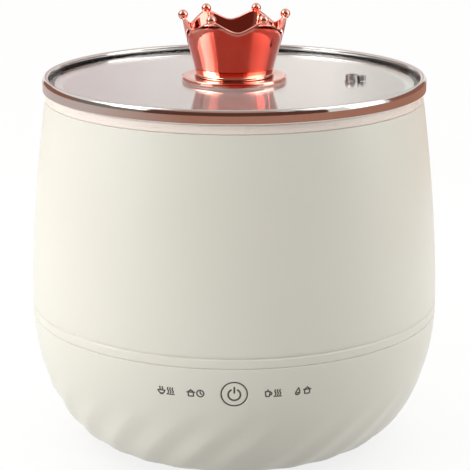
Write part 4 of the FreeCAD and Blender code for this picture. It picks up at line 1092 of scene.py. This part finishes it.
def rose_gold(name, crown):
    """Mirror plating under lacquer, deeper red by the points' attribute "share": lacquer, painted highlights and
    shade.
    """
    finish = Finish(name, crown.plating, crown.gloss, metallic=1.0, Coat_Weight=0.6, Coat_Roughness=0.02,
                    Coat_IOR=1.5)
    # The attribute holds the lacquer, the painted highlight streaks and the painted shade pools
    lacquer_and_painted_light_mask = finish.node("ShaderNodeAttribute", attribute_name="share").outputs["Fac"]
    drift = finish.ranged(finish.noise(70, 3.0), 0.94, 1.0)
    finish.vary_colour(maths(finish.tree, "MULTIPLY", lacquer_and_painted_light_mask, drift), 0.0, tuple(crown.lacquer_and_painted_light))
    finish.vary_roughness(finish.noise(500, 4.0), 0.02)
    finish.bump(finish.noise(110, 1.5), 0.06 * MM, 0.35)
    return finish.material


def clear_glass(name, colour):
    """Tempered glass, with a clear way for lamp light so that the pot under it is lit."""
    finish = Finish(name, colour, 0.012, Transmission_Weight=1.0, IOR=1.5)
    finish.bump(finish.noise(9, 1.0), 0.08 * MM, 0.25)
    through = finish.node("ShaderNodeBsdfTransparent")
    through.inputs["Color"].default_value = (0.94, 0.95, 0.95, 1.0)
    lamp_ray = finish.node("ShaderNodeLightPath").outputs["Is Shadow Ray"]
    finish.surface_mix(lamp_ray, finish.shader.outputs["BSDF"], through.outputs["BSDF"])
    return finish.material


def ceramic_coating(name, colour):
    """Pale non-stick coating with fine speckles and a soft orange peel."""
    finish = Finish(name, colour, 0.38, Coat_Weight=0.25, Coat_Roughness=0.15)
    speck = finish.ranged(finish.noise(1300, 2.0), 0.0, 1.0, 0.66, 0.74)
    finish.vary_colour(speck, 0.22)
    finish.bump(finish.noise(420, 2.0), 0.02 * MM, 0.4)
    return finish.material


def circuit_board(name, colour):
    """Board with tracks under the mask: a grid of cells picks out lighter copper areas."""
    finish = Finish(name, colour, 0.35, Coat_Weight=0.4, Coat_Roughness=0.2)
    cells = finish.node("ShaderNodeTexVoronoi", feature="F1", distance="CHEBYCHEV")
    cells.inputs["Scale"].default_value = 260
    finish.link(finish.place, cells.inputs["Vector"])
    tracks = finish.ranged(cells.outputs["Distance"], 0.0, 1.0, 0.36, 0.40)
    finish.vary_colour(tracks, 0.0, (colour[0] * 2.4, colour[1] * 1.5, colour[2] * 1.6))
    finish.bump(tracks, 0.03 * MM, 0.6)
    return finish.material


def wire_insulation(name, colour, stripe=None):
    """Insulated wire, with a second colour in long stripes where it has one."""
    finish = Finish(name, colour, 0.45)
    if stripe:
        finish.vary_colour(finish.ranged(finish.noise(260, 0.0, (1, 1, 0.3)), 0.0, 1.0, 0.49, 0.51), 0.0, stripe)
    else:
        finish.vary_colour(finish.noise(300, 3.0), 0.12)
    finish.bump(finish.noise(900, 2.0), 0.01 * MM, 0.4)
    return finish.material


def printed_ink(name, colour):
    """Matt ink whose cover is a little uneven."""
    finish = Finish(name, colour, 0.55)
    finish.vary_colour(finish.noise(1600, 3.0), 0.25)
    finish.bump(finish.noise(3200, 2.0), 0.004 * MM, 0.4)
    return finish.material


# Finishes without settings: the maker of each, its colour and what else the maker takes
FIXED_FINISHES = {
    "cover_plastic": (matt_plastic, (0.70, 0.68, 0.61), 0.55, 1200),
    "foot_rubber": (soft_rubber, (0.030, 0.030, 0.030), 0.75),
    "silicone": (soft_rubber, (0.82, 0.81, 0.78), 0.5),
    "zinc_screw": (rolled_metal, (0.62, 0.63, 0.65), 0.32, (1, 1, 1)),
    "shield_sheet": (turned_metal, (0.74, 0.74, 0.75), 0.26, 0.01 * MM, 0.10),
    "cast_plate": (cast_metal, (0.60, 0.60, 0.61), 0.38),
    "element_sheath": (rolled_metal, (0.42, 0.40, 0.38), 0.34, (1, 1, 12)),
    "ceramic_bead": (matt_plastic, (0.86, 0.84, 0.79), 0.7, 2200),
    "fuse_metal": (rolled_metal, (0.72, 0.58, 0.32), 0.30, (1, 8, 1)),
    "bracket_steel": (rolled_metal, (0.58, 0.58, 0.58), 0.30, (8, 1, 1)),
    "probe_metal": (turned_metal, (0.78, 0.78, 0.80), 0.20, 0.008 * MM, 0.10),
    "spring_steel": (rolled_metal, (0.48, 0.48, 0.49), 0.28, (1, 1, 1)),
    "bead_epoxy": (matt_plastic, (0.03, 0.03, 0.03), 0.4),
    "board_green": (circuit_board, (0.020, 0.130, 0.055)),
    "relay_case": (matt_plastic, (0.02, 0.03, 0.06), 0.3, 2600),
    "transformer_core": (rolled_metal, (0.16, 0.14, 0.12), 0.5, (40, 1, 1)),
    "capacitor_can": (matt_plastic, (0.03, 0.04, 0.12), 0.35),
    "terminal_green": (matt_plastic, (0.03, 0.26, 0.10), 0.42),
    "connector_white": (matt_plastic, (0.84, 0.83, 0.77), 0.5),
    "led_lens": (matt_plastic, (0.88, 0.74, 0.50), 0.25, 3000),
    "switch_black": (matt_plastic, (0.02, 0.02, 0.02), 0.5),
    "inlet_black": (matt_plastic, (0.022, 0.022, 0.024), 0.42, 1700),
    "pin_metal": (rolled_metal, (0.50, 0.48, 0.43), 0.34, (1, 10, 1)),
    "wire_brown": (wire_insulation, (0.16, 0.06, 0.025)),
    "wire_earth": (wire_insulation, (0.62, 0.55, 0.03), (0.05, 0.30, 0.05)),
    "wire_white": (wire_insulation, (0.80, 0.78, 0.72)),
    "wire_grey": (wire_insulation, (0.42, 0.42, 0.44)),
    # Darker copy of the rim's steel for the eyelet: painted dark reflection
    "eyelet_steel": (turned_metal, (0.36, 0.35, 0.34), 0.28),
}
FINISHES = {}


def make_finishes(scene):
    """Fill FINISHES: one for each material slot of the record, and those of the eyelet and the ink."""
    body, panel, lid = scene.hot_pot_body, scene.hot_pot_panel, scene.hot_pot_lid
    FINISHES.clear()
    for name, (maker, *values) in FIXED_FINISHES.items():
        FINISHES[name] = maker(name, *values)
    for name, colour, gloss in (("cream_body", body.cream, 0.0), ("cream_trim", body.cream, 0.04),
                                ("button_cream", body.cream, 0.04), ("cream_collar", body.collar_cream, 0.06)):
        FINISHES[name] = satin_plastic(name, colour, body.satin - gloss)
    FINISHES["pot_coating"] = ceramic_coating("pot_coating", body.pot_coating)
    FINISHES["lid_glass"] = clear_glass("lid_glass", lid.glass)
    FINISHES["rim_steel"] = turned_metal("rim_steel", lid.steel, lid.steel_roughness)
    FINISHES["rose_gold"] = rose_gold("rose_gold", scene.hot_pot_crown)
    FINISHES["panel_ink"] = printed_ink("panel_ink", panel.ink)


# ---------------------------------------------------------------- Operators

class HotPotStep(Operator):
    """One step of the build."""

    bl_options = {"REGISTER", "UNDO"}


class HOTPOT_OT_finishes(HotPotStep):
    """Make every finish and give the nodes that stay as they are their own"""

    bl_idname = "hotpot.finishes"
    bl_label = "Finishes"

    def execute(self, context):
        make_finishes(context.scene)
        for subpart in frame["record"]["subparts"]:
            node = frame["nodes"][subpart["node"]]
            node.data.materials.clear()
            node.data.materials.append(FINISHES[subpart["material_slot"]])
        return {"FINISHED"}


class HOTPOT_OT_casing(HotPotStep):
    """Build the barrel, the band, the collar and the fluted base"""

    bl_idname = "hotpot.casing"
    bl_label = "Casing"

    def execute(self, context):
        base = fluted_base(context.scene.hot_pot_body, context.scene.hot_pot_panel.edge / MM)
        add_piece("barrel_wall", barrel_wall(), "housing", ["outer_shell"], "cream_body")
        add_piece("waist_band", waist_band(), "housing", ["trim_band"], "cream_trim")
        add_piece("mouth_collar", mouth_collar(), "housing", ["top_collar"], "cream_collar")
        add_piece("fluted_base", base, "housing", ["base_shell"], "cream_body")
        return {"FINISHED"}


class HOTPOT_OT_feet(HotPotStep):
    """Build the four rubber feet"""

    bl_idname = "hotpot.feet"
    bl_label = "Feet"

    def execute(self, context):
        feet = turned_copies(rubber_foot(), math.radians(45) + headings(4))
        add_piece("tread_feet", feet, "housing", ["rubber_feet"], "foot_rubber")
        return {"FINISHED"}


class HOTPOT_OT_heater(HotPotStep):
    """Build the cooking pot, its heat shield, the hot plate and the probe's cap"""

    bl_idname = "hotpot.heater"
    bl_label = "Pot and heater"

    def execute(self, context):
        add_piece("cooking_pot", cooking_pot(), "pot", ["inner_pot"], "pot_coating")
        add_piece("shield_can", shield_can(), "housing", ["heat_shield"], "shield_sheet")
        add_piece("hot_plate", hot_plate(), "housing", ["heating_plate"], "cast_plate")
        add_piece("probe_cap", probe_cap(), "probe", ["sensor_cap"], "probe_metal")
        return {"FINISHED"}


class HOTPOT_OT_panel(HotPotStep):
    """Build the key, a dark ring of painted shade in its gap, the printed marks and the power inlet"""

    bl_idname = "hotpot.panel"
    bl_label = "Key, marks and inlet"

    def execute(self, context):
        panel = context.scene.hot_pot_panel
        add_piece("round_key", key_cap(), "button", ["select_button"], "button_cream")
        # Dark ring in printed ink: painted shade in the gap round the key
        add_piece("key_gap_shade", key_gap_shade(), "housing", [], "switch_black", "panel_ink")
        add_piece("power_sign", power_sign(panel), "button", [], "switch_black", "panel_ink")
        for index, (heading, signs) in enumerate(FUNCTION_MARKS, 1):
            mark = function_mark(heading, signs, panel)
            add_piece(f"function_mark_{index}", mark, "housing", [], "switch_black", "panel_ink")
        add_piece("inlet_body", inlet_body(), "housing", ["inlet_housing"], "inlet_black")
        return {"FINISHED"}


class HOTPOT_OT_lid(HotPotStep):
    """Build the lid's rim and steam eyelet"""

    bl_idname = "hotpot.lid"
    bl_label = "Lid"

    def execute(self, context):
        rim = rim_channel(context.scene.hot_pot_lid)
        add_piece("rim_channel", rim, "lid", ["lid_rim"], "rim_steel")
        # The eyelet's finish is a darker copy of the rim steel, a painted dark reflection
        add_piece("vent_grommet", vent_grommet(), "lid", ["vent_eyelet"], "rim_steel", "eyelet_steel")
        return {"FINISHED"}


class HOTPOT_OT_crown(HotPotStep):
    """Build the crown knob and its flange"""

    bl_idname = "hotpot.crown"
    bl_label = "Crown"

    def execute(self, context):
        crown = context.scene.hot_pot_crown
        # The crown's values are its lacquer with painted highlight streaks
        shape, lacquer_and_painted_light = crown_body(crown)
        add_piece("crown_body", shape, "lid", ["crown_knob"], "rose_gold", values=lacquer_and_painted_light)
        # The flange's values are painted shade pools on its edge
        shape, lacquer_and_painted_light = flange_disc(crown)
        add_piece("flange_disc", shape, "lid", ["knob_flange"], "rose_gold", values=lacquer_and_painted_light)
        return {"FINISHED"}


# ---------------------------------------------------------------- Stage

# Colours of the cards that the mirrors show: daylight, the dark parts of a room, a table and its shaded edges
WHITE, DARK, FLAG, BROWN = (1.0, 1.0, 1.0), (0.14, 0.055, 0.040), (0.34, 0.15, 0.11), (0.55, 0.36, 0.28)
TABLE, EDGE, GREY, DIM = (0.50, 0.24, 0.165), (0.70, 0.59, 0.55), (0.24, 0.21, 0.19), (0.25, 0.24, 0.23)
CEILING, HAZE = (0.68, 0.66, 0.64), (0.60, 0.59, 0.52)

# Each card's stops, heights and radius, and where they aren't 1 its strength and what twice multiplies it by
CARDS = {
    "table_card": (((-160, EDGE), (-90, EDGE), (-25, TABLE), (145, TABLE), (178, GREY)), (0.0, 0.12), 0.70),
    "dark_card": (((-50, DARK), (52, DARK)), (0.12, 0.65), 0.71),
    "upper_card": (((-50, BROWN), (30, BROWN)), (0.65, 2.40), 0.71),
    "left_flag": (((-150, FLAG), (-110, FLAG), (-90, GREY), (-50, GREY)), (0.12, 0.42), 0.71),
    "right_flag": (((96, FLAG), (150, FLAG)), (0.12, 0.42), 0.71),
    "left_glow": (((-110, DIM), (-97, DIM), (-90, WHITE), (-67, WHITE), (-60, DIM), (-50, DIM)), (0.50, 1.60), 0.68,
                  4.0, 10.0),
    "right_glow": (((38, (0.05, 0.04, 0.04)), (44, (0.30, 0.30, 0.30)), (50, (0.65, 0.65, 0.65)),
                    (62, (0.85, 0.85, 0.85)), (74, WHITE), (88, (0.90, 0.90, 0.90)), (100, (0.55, 0.52, 0.50)),
                    (112, (0.30, 0.28, 0.27))), (0.50, 1.60), 0.68, 2.4, 4.5),
    "right_shade": (((112, WHITE), (165, WHITE)), (0.42, 1.70), 0.71, 0.9, 0.4),
    "back_card": (((-196, HAZE), (-189.7, HAZE), (-185.8, (1.06, 0.97, 0.90)), (-180, (0.86, 0.775, 0.745)),
                   (-175, (0.82, 0.72, 0.69)), (-171.9, (0.71, 0.55, 0.56)), (-164, (0.68, 0.52, 0.54))),
                  (0.20, 1.20), 1.10),
    "ceiling_card": (((-180, CEILING), (180, CEILING)), 2.40, (1.20, 0.001)),
}
CARD_COLUMNS = 48


def studio_card(name, stops, heights, radius, strength=1.0, twice=1.0):
    """Curved card round the pot that only mirrors see; a flat ring where it has two radii and one height.

    A stop is a heading, in degrees from the front to the right, and a colour; from stop to stop the colour runs
    evenly. Mirrors see the card at its strength, and a mirror that looks into another mirror sees it at twice
    times that.
    """
    places, colours = zip(*stops)
    across = np.linspace(places[0], places[-1], CARD_COLUMNS)
    reach, height = np.broadcast_to(radius, 2)[:, None], np.broadcast_to(heights, 2)[:, None]
    points = round_points(reach, FRONT + np.radians(across), height).reshape(-1, 3)
    index = np.arange(len(points)).reshape(2, -1)
    faces = np.stack([index[:-1, :-1], index[:-1, 1:], index[1:, 1:], index[1:, :-1]], axis=-1).reshape(-1, 4)
    finish = Finish(name, (0.0, 0.0, 0.0), 1.0)
    glow = finish.node("ShaderNodeEmission")
    finish.link(finish.node("ShaderNodeAttribute", attribute_name="glow").outputs["Color"], glow.inputs["Color"])
    depth = finish.node("ShaderNodeLightPath").outputs["Glossy Depth"]
    finish.link(finish.ranged(depth, strength, strength * twice, 1.0, 2.0), glow.inputs["Strength"])
    finish.surface(glow.outputs["Emission"])
    mesh = new_mesh(name, points, faces, finish.material)
    shades = [np.interp(across, places, channel) for channel in zip(*colours)] + [np.ones(CARD_COLUMNS)]
    shades = np.tile(np.stack(shades, axis=-1), (2, 1)).ravel()
    mesh.attributes.new("glow", "FLOAT_COLOR", "POINT").data.foreach_set("color", shades)
    card = linked(name, mesh)
    card.visible_camera = card.visible_diffuse = card.visible_shadow = False
    card.visible_transmission = card.visible_volume_scatter = False


def soft_box(name, place, power):
    """Rectangular lamp that faces the pot's middle."""
    lamp = bpy.data.lights.new(name, "AREA")
    lamp.shape = "RECTANGLE"
    lamp.size, lamp.size_y = 0.45, 0.40
    lamp.energy = power
    holder = linked(name, lamp)
    holder.location = place
    holder.rotation_euler = (Vector((0.0, 0.0, 0.1)) - Vector(place)).to_track_quat("-Z", "Y").to_euler()


def floor_material(stage):
    """Pale floor: white with the object's shadow where it is seen, and of its own colour for bounced light."""
    finish = Finish("studio_floor", stage.floor, 0.6)
    seen = seen_directly(finish.tree)
    grain = finish.ranged(finish.noise(30, 4.0), 0.0, 0.02)
    finish.vary_colour(maths(finish.tree, "SUBTRACT", seen, grain), 0.0, (1.0, 1.0, 1.0))
    white = finish.node("ShaderNodeEmission")
    white.inputs["Color"].default_value = (1.0, 1.0, 1.0, 1.0)
    lifted = maths(finish.tree, "MULTIPLY", seen, 1 - stage.shadow)
    finish.surface_mix(lifted, finish.shader.outputs["BSDF"], white.outputs["Emission"])
    return finish.material


class HOTPOT_OT_stage(HotPotStep):
    """Build the floor, the cards, the soft boxes, the surroundings and the camera"""

    bl_idname = "hotpot.stage"
    bl_label = "Stage"

    def execute(self, context):
        scene = context.scene
        stage = scene.hot_pot_stage
        scene.view_settings.view_transform = "Standard"
        self.add_floor(stage)
        for name, card in CARDS.items():
            studio_card(name, *card)
        self.light_world(scene, stage)
        soft_box("key_box", (-0.83, -0.44, 0.36), stage.key)
        soft_box("fill_box", (0.93, -0.16, 0.36), stage.fill)
        self.add_camera(scene, stage)
        return {"FINISHED"}

    def add_floor(self, stage):
        """Flat round sheet a hair under the pot's feet."""
        sides, radius = 128, 8.0
        points = round_points(radius, headings(sides), -0.1 * MM)
        mesh = new_mesh("studio_floor", points, [list(range(sides))], floor_material(stage))
        floor = linked("studio_floor", mesh)

    def light_world(self, scene, stage):
        """White surroundings where they are seen, and an even light, weaker from the front, on everything."""
        world = bpy.data.worlds.new("studio")
        world.use_nodes = True
        tree = world.node_tree
        sky = tree.nodes["Background"]
        sky.inputs["Color"].default_value = (1.0, 0.995, 0.98, 1.0)
        seen = seen_directly(tree)
        parts = tree.nodes.new("ShaderNodeSeparateXYZ")
        tree.links.new(tree.nodes.new("ShaderNodeTexCoord").outputs["Generated"], parts.inputs["Vector"])
        front = maths(tree, "MAXIMUM", maths(tree, "MULTIPLY", parts.outputs["Y"], -1.0), 0.0)
        shade = maths(tree, "MULTIPLY", maths(tree, "POWER", front, 3.0), stage.front_shade)
        even = maths(tree, "MAXIMUM", maths(tree, "SUBTRACT", stage.ambient, shade), 0.0)
        unseen = maths(tree, "SUBTRACT", 1.0, seen)
        tree.links.new(maths(tree, "MULTIPLY_ADD", even, unseen, seen), sky.inputs["Strength"])
        scene.world = world

    def add_camera(self, scene, stage):
        """Camera in front, looking at the pot's middle."""
        camera = bpy.data.cameras.new("camera")
        camera.lens = stage.lens
        camera.sensor_width = 36.0
        camera.shift_x = 0.0015
        camera.clip_start, camera.clip_end = 0.05, 40.0
        scene.camera = linked("camera", camera)
        away = Vector((0.0, -math.cos(stage.elevation), math.sin(stage.elevation)))
        scene.camera.location = Vector((0.0, 0.0, stage.target)) + away * stage.distance
        scene.camera.rotation_euler = (-away).to_track_quat("-Z", "Y").to_euler()


# ---------------------------------------------------------------- Add-on

SETTINGS = {"hot_pot_body": HotPotBody, "hot_pot_panel": HotPotPanel, "hot_pot_lid": HotPotLid,
            "hot_pot_crown": HotPotCrown, "hot_pot_stage": HotPotStage}
STEPS = (HOTPOT_OT_stage, HOTPOT_OT_finishes, HOTPOT_OT_casing, HOTPOT_OT_feet, HOTPOT_OT_heater, HOTPOT_OT_panel,
         HOTPOT_OT_lid, HOTPOT_OT_crown)


class HOTPOT_PT_sidebar(Panel):
    """Steps and settings of the hot pot"""

    bl_idname = "HOTPOT_PT_sidebar"
    bl_label = "Hot Pot"
    bl_space_type = "VIEW_3D"
    bl_region_type = "UI"
    bl_category = "Hot Pot"

    def draw(self, context):
        for step in STEPS:
            self.layout.operator(step.bl_idname)
        for name, group in SETTINGS.items():
            box = self.layout.box()
            box.label(text=group.__doc__)
            for setting in group.__annotations__:
                box.prop(getattr(context.scene, name), setting)


CLASSES = (*SETTINGS.values(), *STEPS, HOTPOT_PT_sidebar)


def register():
    """Register the classes and hang the settings on the scene."""
    for item in CLASSES:
        bpy.utils.register_class(item)
    for name, group in SETTINGS.items():
        setattr(bpy.types.Scene, name, PointerProperty(type=group))


def unregister():
    """Take the settings and the classes away again."""
    for name in SETTINGS:
        delattr(bpy.types.Scene, name)
    for item in reversed(CLASSES):
        bpy.utils.unregister_class(item)


def main():
    """Build everything in order."""
    register()
    bpy.ops.hotpot.stage()
    bpy.ops.hotpot.finishes()
    bpy.ops.hotpot.casing()
    bpy.ops.hotpot.feet()
    bpy.ops.hotpot.heater()
    bpy.ops.hotpot.panel()
    bpy.ops.hotpot.lid()
    bpy.ops.hotpot.crown()


if __name__ == "__main__":
    main()
